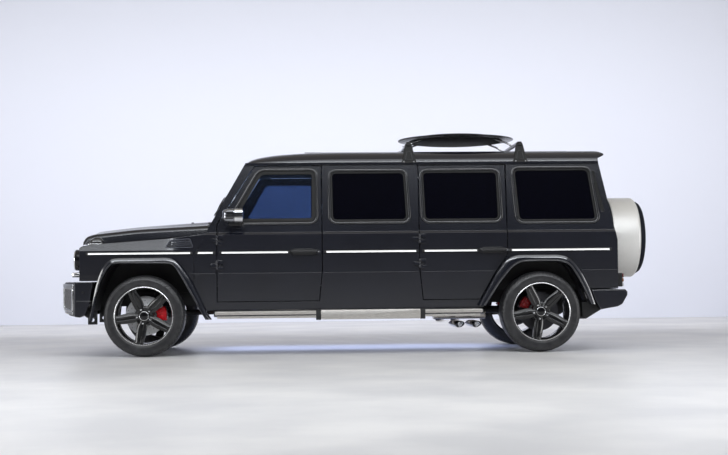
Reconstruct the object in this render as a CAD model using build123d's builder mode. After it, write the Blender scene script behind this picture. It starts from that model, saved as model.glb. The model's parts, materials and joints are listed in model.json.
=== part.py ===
# A stretched off-road suv: box body on a ladder frame, two live axles, five doors and a bonnet.
# Frame: +X forward, +Y to the vehicle's left, +Z up; the origin is on the ground below the middle.
# All sizes are millimetres.
import math
import os

from build123d import *

os.makedirs("parts", exist_ok=True)

# Overall sizes
overall_length = 5790
overall_width = 1855
wheelbase = 3770
front_overhang = 820
roof_crown_z = 1972

# Wheels and axles
tyre_radius = 384.5
tyre_width = 295
tyre_inset = 15
rim_radius = 284
rim_width = 276
bead_depth = 16
rim_wall = 18
brake_disc_radius = 187
kingpin_inset = 110
spindle_radius = 35
running_gap = 0.08

# Body side, as heights and half widths of the outer skin
sill_z = 430
door_bottom_z = 513
crease_z = 777
belt_z = 1147
shoulder_z = 1166
gutter_z = 1821
flare_reach = 101.5
crease_swell = 10
belt_swell = 16
shoulder_swell = 1
roof_tuck = 69
wall_low = 85
wall_high = 42
skin_leaf = 20
door_gap = 8

# Lengths along the side, measured back from the front axle or from the rear axle
front_door_from_axle = 690
front_door_length = 992
rear_door_length = 838
rear_door_end_before_axle = 312
wing_front_ahead_of_axle = 610
body_end_behind_axle = 758
window_low_z = 1262
window_high_z = 1748
window_corner = 55
glass_thickness = 6
glass_recess = 14
glass_gap = 0.5
handle_z = 978
handle_half_height = 15
handle_half_length = 120
handle_stand_off = 34
front_handle_from_edge = 172
rear_handle_from_edge = 142

# Frame, floor and sills
spring_inset = 165
rail_inset = 130
rail_width = 80
rail_low_z = 470
rail_high_z = 600
floor_low_z = 610
floor_thickness = 40

front_axle_x = overall_length / 2 - front_overhang
rear_axle_x = front_axle_x - wheelbase
nose_x = overall_length / 2
tail_x = -overall_length / 2
half_width = overall_width / 2
sill_half_width = half_width - flare_reach
crease_half_width = sill_half_width + crease_swell
belt_half_width = sill_half_width + belt_swell
shoulder_half_width = sill_half_width + shoulder_swell
gutter_half_width = sill_half_width - roof_tuck
track = overall_width - tyre_width - 2 * tyre_inset
wheel_y = track / 2
kingpin_y = wheel_y - kingpin_inset
spring_y = kingpin_y - spring_inset
rail_half_spacing = spring_y - rail_inset

front_door_x = front_axle_x - front_door_from_axle
front_door_end_x = front_door_x - front_door_length
rear_door_end_x = rear_axle_x + rear_door_end_before_axle
rear_door_x = rear_door_end_x + rear_door_length
body_end_x = rear_axle_x - body_end_behind_axle
floor_high_z = floor_low_z + floor_thickness

side_profile = [
    (sill_z, sill_half_width),
    (crease_z, crease_half_width),
    (belt_z, belt_half_width),
    (shoulder_z, shoulder_half_width),
    (gutter_z, gutter_half_width),
]

# Windscreen line and the rear face line, as (x, z)
screen_low = (front_axle_x - 640, 1275)
screen_high = (front_axle_x - 965, 1846)
screen_slope = (screen_high[0] - screen_low[0]) / (screen_high[1] - screen_low[1])
tail_lean_z = 1063
tail_lean = 168
tail_top_z = 1864


def skin_y(z):
    # half width of the outer skin at a height
    z = min(max(z, sill_z), gutter_z)
    for (z0, y0), (z1, y1) in zip(side_profile, side_profile[1:]):
        if z <= z1:
            return y0 + (y1 - y0) * (z - z0) / (z1 - z0)
    return gutter_half_width


def screen_x(z):
    return screen_low[0] + screen_slope * (z - screen_low[1])


def tail_face_x(z):
    # rear face of the body: upright to the waist, then leaning forward
    return body_end_x + tail_lean * max(0, z - tail_lean_z) / (tail_top_z - tail_lean_z)


def plate(points, y_low, y_high, corner=0):
    # a slab cut to a side view outline, between two distances from the centre plane
    with BuildPart(mode=Mode.PRIVATE) as slab:
        with BuildSketch(Plane.XZ.offset(-y_high)) as face:
            with BuildLine():
                Polyline(*points, close=True)
            make_face()
            if corner:
                fillet(face.vertices(), corner)
        extrude(amount=y_high - y_low)
    return slab.part


def prism(points, x_low, x_high):
    # a bar with a cross section seen from the front, between two stations
    with BuildPart(mode=Mode.PRIVATE) as bar:
        with BuildSketch(Plane.YZ.offset(x_low)):
            with BuildLine():
                Polyline(*points, close=True)
            make_face()
        extrude(amount=x_high - x_low)
    return bar.part


def block(x_low, x_high, y_low, y_high, z_low, z_high):
    # a box between three pairs of limits
    with BuildPart(mode=Mode.PRIVATE) as box:
        with Locations(((x_low + x_high) / 2, (y_low + y_high) / 2, (z_low + z_high) / 2)):
            Box(x_high - x_low, y_high - y_low, z_high - z_low)
    return box.part


def side_wall(x_low, x_high, z_low, z_high, depth_low, depth_high, inset=0):
    # a length of the left side wall, following the skin, thicker below the belt than above it
    levels = [z_low] + [z for z, y in side_profile if z_low < z < z_high] + [z_high]
    outer = [(skin_y(z) - inset, z) for z in levels]
    inner = []
    for z in reversed(levels):
        depth = depth_high if z > belt_z else depth_low
        inner.append((skin_y(z) - inset - depth, z))
    return prism(outer + inner, x_low, x_high)


def grown(points, amount):
    # a side view outline moved outward by an amount
    with BuildSketch(Plane.XY, mode=Mode.PRIVATE) as sketch:
        with BuildLine():
            Polyline(*points, close=True)
        make_face()
        offset(amount=amount, kind=Kind.INTERSECTION)
    wire = sketch.sketch.faces()[0].outer_wire()
    return [(v.X, v.Y) for v in (edge.position_at(0) for edge in wire.order_edges())]


# Side view outlines, as (x, z)
door_top_z = gutter_z - 22
pillar_turn_z = 1240
front_door_outline = [
    (front_door_x, door_bottom_z),
    (front_door_x, pillar_turn_z),
    (front_door_x - 0.64 * (door_top_z - pillar_turn_z), door_top_z),
    (front_door_end_x, door_top_z),
    (front_door_end_x, 800),
    (front_door_end_x + 30, door_bottom_z),
]
rear_door_outline = [
    (rear_door_x, door_top_z),
    (rear_door_end_x, door_top_z),
    (rear_door_end_x, 925),
    (rear_axle_x + 336, 905),
    (rear_axle_x + 432, 766),
    (rear_axle_x + 578, door_bottom_z),
    (rear_door_x - 30, door_bottom_z),
    (rear_door_x, 800),
]
front_window = [
    (front_door_x - 112, window_low_z),
    (front_door_x - 400, window_high_z + 10),
    (front_door_end_x + 54, window_high_z + 10),
    (front_door_end_x + 56, window_low_z),
]
panel_window = [
    (front_door_end_x - 90, window_low_z),
    (front_door_end_x - 83, window_high_z),
    (rear_door_x + 130, window_high_z),
    (rear_door_x + 105, window_low_z),
]
rear_window = [
    (rear_door_x - 40, window_low_z),
    (rear_door_x - 23, window_high_z),
    (rear_door_end_x + 70, window_high_z),
    (rear_door_end_x + 58, window_low_z),
]
quarter_window = [
    (rear_door_end_x - 112, window_low_z - 12),
    (rear_door_end_x - 72, window_high_z + 17),
    (rear_door_end_x - 818, window_high_z + 17),
    (rear_door_end_x - 887, window_low_z - 12),
]


def well_outline(axle_x, sides):
    # wheel opening in side view; sides gives the points fore and aft of the axle
    return [(axle_x + x, z) for x, z in sides]


front_well = well_outline(front_axle_x, [
    (-590, 330), (-535, 422), (-444, 586), (-354, 750), (-293, 853), (-242, 880),
    (275, 884), (305, 869), (356, 799), (396, 718), (457, 535), (500, 330),
])
front_flare = well_outline(front_axle_x, [
    (-640, 338), (-597, 401), (-537, 524), (-437, 729), (-346, 858), (-295, 915), (-245, 936),
    (272, 936), (322, 918), (373, 863), (413, 779), (449, 667), (474, 535), (510, 338),
])
rear_well = well_outline(rear_axle_x, [
    (-515, 330), (-482, 428), (-435, 538), (-376, 661), (-304, 783), (-256, 840), (-170, 866),
    (136, 868), (210, 855), (284, 807), (396, 669), (546, 440), (610, 330),
])
rear_flare = well_outline(rear_axle_x, [
    (-565, 330), (-510, 477), (-469, 599), (-398, 746), (-326, 850), (-265, 907), (-180, 930),
    (237, 930), (323, 899), (422, 766), (568, 513), (610, 440), (670, 330),
])

# Doors hang on barrels outside the skin; each closing edge is turned about its hinge line
hinge_out = 16
barrel_radius = 10
barrel_height = 28
front_hinge = (front_door_x + door_gap / 2, belt_half_width + hinge_out)
rear_hinge = (rear_door_x + door_gap / 2, belt_half_width + hinge_out)
hinge_heights = (812, 1050)


def hinge_barrel(hinge, z_low, leaf_to_x):
    # one barrel with the leaf that joins it to its panel
    with BuildPart(mode=Mode.PRIVATE) as barrel:
        with Locations((hinge[0], hinge[1], z_low + barrel_height / 2)):
            Cylinder(barrel_radius, barrel_height)
        skin = skin_y(z_low + barrel_height / 2)
        low, high = sorted((hinge[0], leaf_to_x))
        add(block(low, high, skin - 8, hinge[1] - 2, z_low, z_low + barrel_height))
    return barrel.part


# Body sides: pillars, fixed middle panel, rear quarter and sill in one pressing a side
seam_x = front_axle_x - 470
rear_corner_y = gutter_half_width - 129
body_outline = [
    (seam_x, sill_z),
    (seam_x, 950),
    (front_axle_x - 588, 1160),
    (screen_x(1200), 1200),
    (screen_x(gutter_z), gutter_z),
    (tail_face_x(gutter_z), gutter_z),
    (tail_face_x(tail_lean_z), tail_lean_z),
    (body_end_x, 600),
    (rear_axle_x - 380, 600),
    (rear_axle_x, sill_z),
]
tail_strip = [
    (tail_face_x(gutter_z), gutter_z),
    (tail_face_x(tail_lean_z), tail_lean_z),
    (body_end_x, 600),
    (body_end_x + 55, 600),
    (body_end_x + 55, tail_lean_z),
    (tail_face_x(gutter_z) + 55, gutter_z),
]
envelope = [(skin_y(z), z) for z, y in side_profile]
envelope += [(rear_corner_y, gutter_z), (rear_corner_y, sill_z)]

with BuildPart() as body_side_left:
    add(side_wall(body_end_x - 50, seam_x + 50, sill_z, gutter_z, wall_low, wall_high))
    add(plate(body_outline, 0, half_width), mode=Mode.INTERSECT)
    add(plate(tail_strip, rear_corner_y, half_width) & prism(envelope, body_end_x - 50, 0))
    add(plate(grown(front_door_outline, door_gap), 0, half_width), mode=Mode.SUBTRACT)
    add(plate(grown(rear_door_outline, door_gap), 0, half_width), mode=Mode.SUBTRACT)
    add(plate(panel_window, 0, half_width, window_corner), mode=Mode.SUBTRACT)
    add(plate(quarter_window, 0, half_width, window_corner), mode=Mode.SUBTRACT)
    add(plate(front_well, 0, half_width), mode=Mode.SUBTRACT)
    add(plate(rear_well, 0, half_width), mode=Mode.SUBTRACT)
    # middle hinge barrels, between those of each door
    for hinge in (front_hinge, rear_hinge):
        for z in hinge_heights:
            add(hinge_barrel(hinge, z + barrel_height + 1, hinge[0] + 60))
    # rain gutter along the top
    add(block(tail_face_x(gutter_z) + 60, screen_x(gutter_z) - 30,
              gutter_half_width - 10, gutter_half_width + 14, gutter_z - 10, gutter_z))
body_side_left.part.label = "body_side_left"

with BuildPart() as body_side_right:
    mirror(body_side_left.part, about=Plane.XZ)
body_side_right.part.label = "body_side_right"


def door(outline, window, hinge, reach, handle_x):
    # a door panel with its inner block, window opening, hinge barrels and pull handle
    x_low = min(x for x, z in outline)
    x_high = max(x for x, z in outline)
    inner = grown(outline, -14)
    with BuildPart(mode=Mode.PRIVATE) as panel:
        add(side_wall(x_low, x_high, door_bottom_z, door_top_z, skin_leaf, skin_leaf))
        add(plate(outline, 0, half_width), mode=Mode.INTERSECT)
        add(side_wall(x_low, x_high, door_bottom_z, door_top_z, wall_low, wall_high)
            & plate(inner, 0, half_width))
        add(plate(window, 0, half_width, window_corner), mode=Mode.SUBTRACT)
        with Locations((hinge[0], hinge[1], (door_bottom_z + door_top_z) / 2)):
            Cylinder(reach, door_top_z, mode=Mode.INTERSECT)
        for z in hinge_heights:
            add(hinge_barrel(hinge, z, hinge[0] - 60))
            add(hinge_barrel(hinge, z + 2 * (barrel_height + 1), hinge[0] - 60))
        # pull handle: a bar on two posts
        grip_y = skin_y(handle_z) + handle_stand_off
        add(block(handle_x - handle_half_length, handle_x + handle_half_length, grip_y,
                  grip_y + 16, handle_z - handle_half_height, handle_z + handle_half_height))
        for post in (15 - handle_half_length, handle_half_length - 15):
            add(block(handle_x + post - 14, handle_x + post + 14, skin_y(handle_z) - 6,
                      grip_y + 6, handle_z - handle_half_height + 3,
                      handle_z + handle_half_height - 3))
    return panel.part


front_reach = front_hinge[0] - front_door_end_x
rear_reach = rear_hinge[0] - rear_door_end_x

with BuildPart() as front_door_left:
    add(door(front_door_outline, front_window, front_hinge, front_reach,
             front_door_end_x + front_handle_from_edge))
front_door_left.part.label = "front_door_left"

with BuildPart() as rear_door_left:
    add(door(rear_door_outline, rear_window, rear_hinge, rear_reach,
             rear_door_end_x + rear_handle_from_edge))
rear_door_left.part.label = "rear_door_left"

with BuildPart() as front_door_right:
    mirror(front_door_left.part, about=Plane.XZ)
front_door_right.part.label = "front_door_right"

with BuildPart() as rear_door_right:
    mirror(rear_door_left.part, about=Plane.XZ)
rear_door_right.part.label = "rear_door_right"


def side_glass(window):
    # one flat pane set back in its opening
    x_low = min(x for x, z in window)
    x_high = max(x for x, z in window)
    z_low = min(z for x, z in window)
    z_high = max(z for x, z in window)
    with BuildPart(mode=Mode.PRIVATE) as pane:
        add(side_wall(x_low, x_high, z_low, z_high, glass_thickness, glass_thickness, glass_recess))
        add(plate(grown(window, -glass_gap), 0, half_width, window_corner - glass_gap),
            mode=Mode.INTERSECT)
    return pane.part


with BuildPart() as front_door_glass_left:
    add(side_glass(front_window))
front_door_glass_left.part.label = "front_door_glass_left"

with BuildPart() as rear_door_glass_left:
    add(side_glass(rear_window))
rear_door_glass_left.part.label = "rear_door_glass_left"

with BuildPart() as front_door_glass_right:
    mirror(front_door_glass_left.part, about=Plane.XZ)
front_door_glass_right.part.label = "front_door_glass_right"

with BuildPart() as rear_door_glass_right:
    mirror(rear_door_glass_left.part, about=Plane.XZ)
rear_door_glass_right.part.label = "rear_door_glass_right"

with BuildPart() as fixed_side_glass:
    for window in (panel_window, quarter_window):
        add(side_glass(window))
    mirror(about=Plane.XZ)
fixed_side_glass.part.label = "fixed_side_glass"

# Mirrors stand on the front doors ahead of the window
mirror_x = front_door_x - 155
mirror_low_z = 1258


def mirror_housing():
    # a rounded shell on a short arm
    with BuildPart(mode=Mode.PRIVATE) as housing:
        with BuildSketch(Plane.XZ.offset(-(half_width + 92))):
            with Locations((mirror_x, mirror_low_z + 62)):
                RectangleRounded(196, 124, 30)
        extrude(amount=200)
        chamfer(housing.faces().sort_by(Axis.Y)[-1].edges(), 18)
        add(block(mirror_x - 30, mirror_x + 50, skin_y(1230) - 4, half_width - 50,
                  mirror_low_z - 34, mirror_low_z + 20))
    return housing.part


with BuildPart() as mirror_left:
    add(mirror_housing())
    add(front_door_left.part, mode=Mode.SUBTRACT)
mirror_left.part.label = "mirror_left"

with BuildPart() as mirror_right:
    mirror(mirror_left.part, about=Plane.XZ)
mirror_right.part.label = "mirror_right"

# Roof: a shallow shell over the gutters, with the header above the windscreen
roof_wall = 40


def roof_section(inset):
    # half of the section to the crown, then its mirror image
    half = [
        (gutter_half_width - inset, gutter_z),
        (gutter_half_width - 6 - inset, gutter_z + 38),
        (gutter_half_width - 42 - inset * 0.7, gutter_z + 88 - inset * 0.6),
        (gutter_half_width - 110 - inset * 0.4, gutter_z + 120 - inset),
        (gutter_half_width - 330, roof_crown_z - 12 - inset),
        (0, roof_crown_z - inset),
    ]
    return half + [(-y, z) for y, z in reversed(half[:-1])]


def roof_outline(inset):
    # side view of the roof: a curved brow, a level top and a short rear lip
    return [
        (screen_x(gutter_z) - inset, gutter_z),
        (screen_high[0] - inset, screen_high[1] - inset * 0.5),
        (front_axle_x - 1000 - inset, 1880 - inset),
        (front_axle_x - 1080 - inset, 1908 - inset),
        (front_axle_x - 1200 - inset, 1934 - inset),
        (front_axle_x - 1400, 1958 - inset),
        (front_axle_x - 1700, roof_crown_z - inset),
        (rear_axle_x - 150, roof_crown_z - inset),
        (rear_axle_x - 480, roof_crown_z - 14 - inset),
        (rear_axle_x - 620 + inset, roof_crown_z - 34 - inset),
        (rear_axle_x - 668 + inset, roof_crown_z - 62 - inset),
        (tail_face_x(tail_top_z) + inset, tail_top_z - inset * 0.3),
        (tail_face_x(gutter_z) + inset, gutter_z),
    ]


with BuildPart() as roof_panel:
    add(prism(roof_section(0), body_end_x, front_door_x))
    add(plate(roof_outline(0), -half_width, half_width), mode=Mode.INTERSECT)
    add(prism(roof_section(roof_wall), body_end_x, front_door_x)
        & plate(roof_outline(roof_wall), -half_width, half_width), mode=Mode.SUBTRACT)
roof_panel.part.label = "roof_panel"

# Tub: floor, firewall, cowl below the windscreen and rear sill
cabin_half_width = sill_half_width - wall_low - 1
housing_inner_y = rail_half_spacing + rail_width / 2 + 8
rear_housing_inner_y = wheel_y - tyre_width / 2 - 42.5
firewall_x = front_axle_x - 600
cowl_outline = [
    (front_axle_x - 596, 1120),
    (front_axle_x - 596, 1226),
    (screen_low[0], screen_low[1]),
    (screen_low[0] - 60, screen_low[1] - 8),
    (screen_low[0] - 60, 1120),
]
with BuildPart() as body_tub:
    add(block(body_end_x + 60, firewall_x, -cabin_half_width, cabin_half_width,
              floor_low_z, floor_high_z))
    add(block(firewall_x - 30, firewall_x, -cabin_half_width, cabin_half_width,
              floor_low_z, 1130))
    add(plate(cowl_outline, -cabin_half_width, cabin_half_width))
    # raised rear sill below the cargo door
    add(block(body_end_x, body_end_x + 60, -rear_corner_y + 1, rear_corner_y - 1, 600, 652))
    for side in (-1, 1):
        low, high = sorted((side * rear_housing_inner_y, side * (cabin_half_width + 1)))
        add(block(rear_axle_x - 500, rear_axle_x + 560, low, high, floor_low_z - 1,
                  floor_high_z + 1), mode=Mode.SUBTRACT)
body_tub.part.label = "body_tub"

# Wheel housings: an arched liner behind each opening, open below and outward
liner = 10
liner_low_z = 436
wing_sheet = 18


def housing(outline, y_inner, y_outer):
    # the liner follows the opening and is closed on its inner side, above the frame
    low = min(x for x, z in outline) - 50
    high = max(x for x, z in outline) + 50
    with BuildPart(mode=Mode.PRIVATE) as shell:
        add(plate(grown(outline, liner), y_inner, y_outer))
        add(plate(outline, y_inner + liner, y_outer + 1), mode=Mode.SUBTRACT)
        add(block(low, high, 0, y_inner + liner + 1, 0, rail_high_z + 5), mode=Mode.SUBTRACT)
        add(block(low, high, 0, half_width, 0, liner_low_z), mode=Mode.SUBTRACT)
    return shell.part


with BuildPart() as wheel_housings:
    add(housing(front_well, housing_inner_y - liner, sill_half_width - wing_sheet - 3))
    add(housing(rear_well, rear_housing_inner_y + 1, sill_half_width - wall_low - 3))
    add(body_side_left.part, mode=Mode.SUBTRACT)
    mirror(about=Plane.XZ)
wheel_housings.part.label = "wheel_housings"

# Front wings: a side skin with a ledge on top, beside the bonnet
wing_front_x = front_axle_x + wing_front_ahead_of_axle
wing_bottom_z = 600
bonnet_half_width = sill_half_width - 186
wing_side = [
    (seam_x + 3, wing_bottom_z - 180),
    (seam_x + 3, 950),
    (front_axle_x - 585, 1157),
    (front_axle_x - 225, 1117),
    (front_axle_x + 82, 1096),
    (front_axle_x + 388, 1074),
    (front_axle_x + 562, 1055),
    (wing_front_x - 14, 1044),
    (wing_front_x, 1031),
    (wing_front_x, 720),
    (front_axle_x + 430, 720),
    (front_axle_x + 430, wing_bottom_z - 180),
]
wing_inside = [(x, z - wing_sheet) for x, z in wing_side]
with BuildPart() as front_wings:
    add(plate(wing_side, bonnet_half_width + 6, half_width))
    add(prism([(bonnet_half_width, 300)] + [(y, z) for z, y in side_profile[:3]]
              + [(belt_half_width - 4, 1200), (bonnet_half_width, 1200)],
              seam_x - 300, nose_x), mode=Mode.INTERSECT)
    add(prism([(bonnet_half_width - 1, 200)] + [(y - wing_sheet, z) for z, y in side_profile[:3]]
              + [(bonnet_half_width - 1, belt_z)], seam_x - 300, nose_x)
        & plate(wing_inside, 0, half_width), mode=Mode.SUBTRACT)
    add(plate(front_well, 0, half_width), mode=Mode.SUBTRACT)
    mirror(about=Plane.XZ)
front_wings.part.label = "front_wings"

# Front panel with round lamp openings, and the grille between them
lamp_y = bonnet_half_width
lamp_z = 921
lamp_radius = 87
grille_half_width = lamp_y - lamp_radius - 53
front_panel_sheet = 30
with BuildPart() as front_panel:
    add(block(wing_front_x - front_panel_sheet, wing_front_x, -bonnet_half_width - 170,
              bonnet_half_width + 170, 720, 1000))
    add(block(wing_front_x - front_panel_sheet, wing_front_x, -bonnet_half_width + 4,
              bonnet_half_width - 4, 999, 1060))
    with BuildSketch(Plane.YZ.offset(wing_front_x + 1)):
        with Locations((lamp_y, lamp_z), (-lamp_y, lamp_z)):
            Circle(lamp_radius)
        with Locations((0, 900)):
            RectangleRounded(2 * grille_half_width, 250, 20)
    extrude(amount=-60, mode=Mode.SUBTRACT)
front_panel.part.label = "front_panel"

with BuildPart() as radiator_grille:
    with BuildSketch(Plane.YZ.offset(wing_front_x - 40)):
        with Locations((0, 900)):
            RectangleRounded(2 * grille_half_width - 2, 248, 19)
            RectangleRounded(2 * grille_half_width - 60, 200, 10, mode=Mode.SUBTRACT)
    extrude(amount=75)
    for z in (850, 900, 950):
        add(block(wing_front_x - 20, wing_front_x + 20, -grille_half_width + 20,
                  grille_half_width - 20, z - 9, z + 9))
radiator_grille.part.label = "radiator_grille"

with BuildPart() as headlamps:
    for side in (-1, 1):
        with BuildSketch(Plane.YZ.offset(wing_front_x - 60)):
            with Locations((side * lamp_y, lamp_z)):
                Circle(lamp_radius - 1)
        extrude(amount=128)
    fillet(headlamps.faces().filter_by(Axis.X).group_by(Axis.X)[-1].edges(), 24)
headlamps.part.label = "headlamps"

with BuildPart() as turn_signals:
    signal = [(front_axle_x + 394, 1078), (front_axle_x + 400, 1112), (front_axle_x + 430, 1140),
              (front_axle_x + 478, 1138), (front_axle_x + 524, 1112), (front_axle_x + 536, 1062)]
    add(plate(signal, bonnet_half_width + 50, bonnet_half_width + 160))
    mirror(about=Plane.XZ)
turn_signals.part.label = "turn_signals"

# Bonnet: sides that stand above the wings and a raised middle
bonnet_rear_x = front_axle_x - 585
bonnet_hinge = (bonnet_rear_x + 14, 1282)
hinge_pin_radius = 5
bonnet_wall = 30


def bonnet_section(low_z, side_z, dome_z, inset):
    # half section from the edge to the raised middle, then its mirror image
    half = [
        (bonnet_half_width - inset, low_z),
        (bonnet_half_width - 8 - inset, side_z - 30 - inset),
        (bonnet_half_width - 34 - inset, side_z - inset),
        (bonnet_half_width - 220, side_z + 12 - inset),
        (bonnet_half_width - 300, dome_z - 8 - inset),
        (0, dome_z - inset),
    ]
    return half + [(-y, z) for y, z in reversed(half[:-1])]


bonnet_stations = [
    (front_axle_x + 606, 1068, 1106, 1112),
    (front_axle_x + 560, 1070, 1150, 1176),
    (front_axle_x + 470, 1074, 1172, 1214),
    (front_axle_x + 80, 1104, 1212, 1256),
    (bonnet_rear_x, 1164, 1246, 1300),
]


def bonnet_solid(inset, end_trim):
    # ruled skin through the stations, lowered and shortened by an inset
    with BuildPart(mode=Mode.PRIVATE) as solid:
        for number, (x, low_z, side_z, dome_z) in enumerate(bonnet_stations):
            shift = {0: -end_trim, len(bonnet_stations) - 1: end_trim}.get(number, 0)
            with BuildSketch(Plane.YZ.offset(x + shift)):
                with BuildLine():
                    Polyline(*bonnet_section(low_z, side_z, dome_z, inset), close=True)
                make_face()
        loft(ruled=True)
    return solid.part


with BuildPart() as bonnet:
    add(bonnet_solid(0, 0))
    add(bonnet_solid(bonnet_wall, bonnet_wall), mode=Mode.SUBTRACT)
    # bore for the hinge pin, across the rear edge
    with BuildSketch(Plane.XZ.offset(-half_width)):
        with Locations(bonnet_hinge):
            Circle(hinge_pin_radius)
    extrude(amount=overall_width, mode=Mode.SUBTRACT)
bonnet.part.label = "bonnet"

# Windscreen between the pillars
with BuildPart() as windscreen:
    low_z = screen_low[1] + 6
    high_z = gutter_z - 2
    pane = [(screen_x(low_z) - 8, low_z), (screen_x(high_z) - 8, high_z),
            (screen_x(high_z) - 16, high_z), (screen_x(low_z) - 16, low_z)]
    add(plate(pane, -half_width, half_width))
    sides = [(skin_y(low_z) - wall_high - 1, low_z), (skin_y(high_z) - wall_high - 1, high_z)]
    add(prism(sides + [(-y, z) for y, z in reversed(sides)], front_door_end_x, front_axle_x),
        mode=Mode.INTERSECT)
windscreen.part.label = "windscreen"

# Cargo door, hung on the right and carrying the spare wheel cover
cargo_half_width = rear_corner_y - door_gap
cargo_low_z = 662
cargo_high_z = gutter_z - 14
cargo_leaf = 45
cargo_hinge = (body_end_x - 14, -cargo_half_width - 2)
cargo_outline = [
    (tail_face_x(cargo_high_z), cargo_high_z),
    (tail_face_x(tail_lean_z), tail_lean_z),
    (body_end_x, cargo_low_z),
    (body_end_x + cargo_leaf, cargo_low_z),
    (body_end_x + cargo_leaf, tail_lean_z),
    (tail_face_x(cargo_high_z) + cargo_leaf, cargo_high_z),
]
cargo_window_half = rear_corner_y - 128
with BuildPart() as cargo_door:
    add(plate(cargo_outline, -cargo_half_width, cargo_half_width))
    with BuildSketch(Plane.YZ.offset(body_end_x - 40)) as hole:
        with Locations((0, (window_low_z + window_high_z) / 2)):
            RectangleRounded(2 * cargo_window_half, window_high_z - window_low_z - 20, 50)
    extrude(amount=400, mode=Mode.SUBTRACT)
    with Locations((cargo_hinge[0], cargo_hinge[1], cargo_high_z / 2)):
        Cylinder(2 * cargo_half_width + 2, 2 * cargo_high_z, mode=Mode.INTERSECT)
    # spare wheel carrier
    add(block(body_end_x - 110, body_end_x + 10, -170, 170, 1000, 1220))
cargo_door.part.label = "cargo_door"

with BuildPart() as cargo_door_glass:
    glass_low = window_low_z + 10 + glass_gap
    glass_high = window_high_z - 10 - glass_gap
    pane = [(tail_face_x(glass_low) + 10, glass_low), (tail_face_x(glass_high) + 10, glass_high),
            (tail_face_x(glass_high) + 16, glass_high), (tail_face_x(glass_low) + 16, glass_low)]
    add(plate(pane, -cargo_window_half + glass_gap, cargo_window_half - glass_gap))
    with BuildSketch(Plane.YZ.offset(body_end_x - 40)):
        with Locations((0, (window_low_z + window_high_z) / 2)):
            RectangleRounded(2 * cargo_window_half - 1, window_high_z - window_low_z - 21, 49.5)
    extrude(amount=400, mode=Mode.INTERSECT)
cargo_door_glass.part.label = "cargo_door_glass"

spare_radius = 405
spare_z = 1112
spare_y = -20
with BuildPart() as spare_wheel_cover:
    with BuildSketch(Plane.YZ.offset(body_end_x - 110)):
        with Locations((spare_y, spare_z)):
            Circle(spare_radius)
    extrude(amount=-(body_end_x - 110 - tail_x - 92))
    with BuildSketch(Plane.YZ.offset(tail_x + 92)):
        with Locations((spare_y, spare_z)):
            Circle(spare_radius)
    with BuildSketch(Plane.YZ.offset(tail_x + 34)):
        with Locations((spare_y, spare_z)):
            Circle(spare_radius - 54)
    with BuildSketch(Plane.YZ.offset(tail_x)):
        with Locations((spare_y, spare_z)):
            Circle(spare_radius - 190)
    loft(ruled=True)
spare_wheel_cover.part.label = "spare_wheel_cover"

# Bumpers
bumper_side = 147.5
nose_half_width = half_width - 307.5
plate_half_width = nose_half_width - 200
front_bumper_side = [
    (nose_x - 30, 691), (nose_x - 60, 712), (front_axle_x + 470, 712), (front_axle_x + 499, 529),
    (front_axle_x + 545, 401), (front_axle_x + 590, 378), (nose_x - 105, 400),
    (nose_x - 50, 450), (nose_x - 36, 560),
]
with BuildPart() as front_bumper:
    add(plate(front_bumper_side, -half_width + 8, half_width - 8))
    with BuildSketch(Plane.XY.offset(300)):
        with BuildLine():
            Polyline((front_axle_x + 400, -half_width), (nose_x - 190, -half_width),
                     (nose_x - 20, -nose_half_width), (nose_x, -plate_half_width),
                     (nose_x, plate_half_width), (nose_x - 20, nose_half_width),
                     (nose_x - 190, half_width), (front_axle_x + 400, half_width), close=True)
        make_face()
    extrude(amount=500, mode=Mode.INTERSECT)
    add(block(nose_x - 32, nose_x, -plate_half_width, plate_half_width, 470, 660))
    inner = half_width - bumper_side
    add(block(front_axle_x + 400, nose_x - 110, -inner, inner, 300, 718), mode=Mode.SUBTRACT)
front_bumper.part.label = "front_bumper"

rear_bumper_side = [
    (rear_axle_x - 482, 588), (rear_axle_x - 810, 590), (rear_axle_x - 832, 566),
    (rear_axle_x - 830, 533), (rear_axle_x - 780, 448), (rear_axle_x - 735, 425),
    (rear_axle_x - 572, 398), (rear_axle_x - 524, 480),
]
with BuildPart() as rear_bumper:
    add(plate(rear_bumper_side, -half_width + 30, half_width - 30))
    inner = half_width - bumper_side + 10
    add(block(rear_axle_x - 600, rear_axle_x - 300, -inner, inner, 300, 595), mode=Mode.SUBTRACT)
    add(block(rear_axle_x - 735, rear_axle_x - 590, -inner, inner, 300, 560), mode=Mode.SUBTRACT)
rear_bumper.part.label = "rear_bumper"

with BuildPart() as tail_lamps:
    lamp_side = [(body_end_x, 612), (body_end_x - 52, 616), (body_end_x - 62, 650),
                 (body_end_x - 60, 705), (body_end_x - 34, 742), (body_end_x, 748)]
    add(plate(lamp_side, rear_corner_y + 12, sill_half_width - 8))
    mirror(about=Plane.XZ)
tail_lamps.part.label = "tail_lamps"

# Arch flares outside each opening
flare_base_y = belt_half_width + 0.5


def flare(outer, inner, floor_z):
    # a band between the flare's outer line and the wheel opening
    with BuildPart(mode=Mode.PRIVATE) as band:
        add(plate(outer, sill_half_width - 2, half_width))
        add(plate(inner, 0, half_width + 1), mode=Mode.SUBTRACT)
        add(block(-overall_length, overall_length, 0, half_width + 1, 0, floor_z),
            mode=Mode.SUBTRACT)
        add(prism([(y + 0.5, z) for z, y in side_profile[:3]]
                  + [(0, belt_z), (0, sill_z)], -overall_length, overall_length),
            mode=Mode.SUBTRACT)
    return band.part


with BuildPart() as arch_flares:
    add(flare(front_flare, front_well, 345))
    add(flare(rear_flare, rear_well, 450))
    mirror(about=Plane.XZ)
arch_flares.part.label = "arch_flares"

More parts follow.
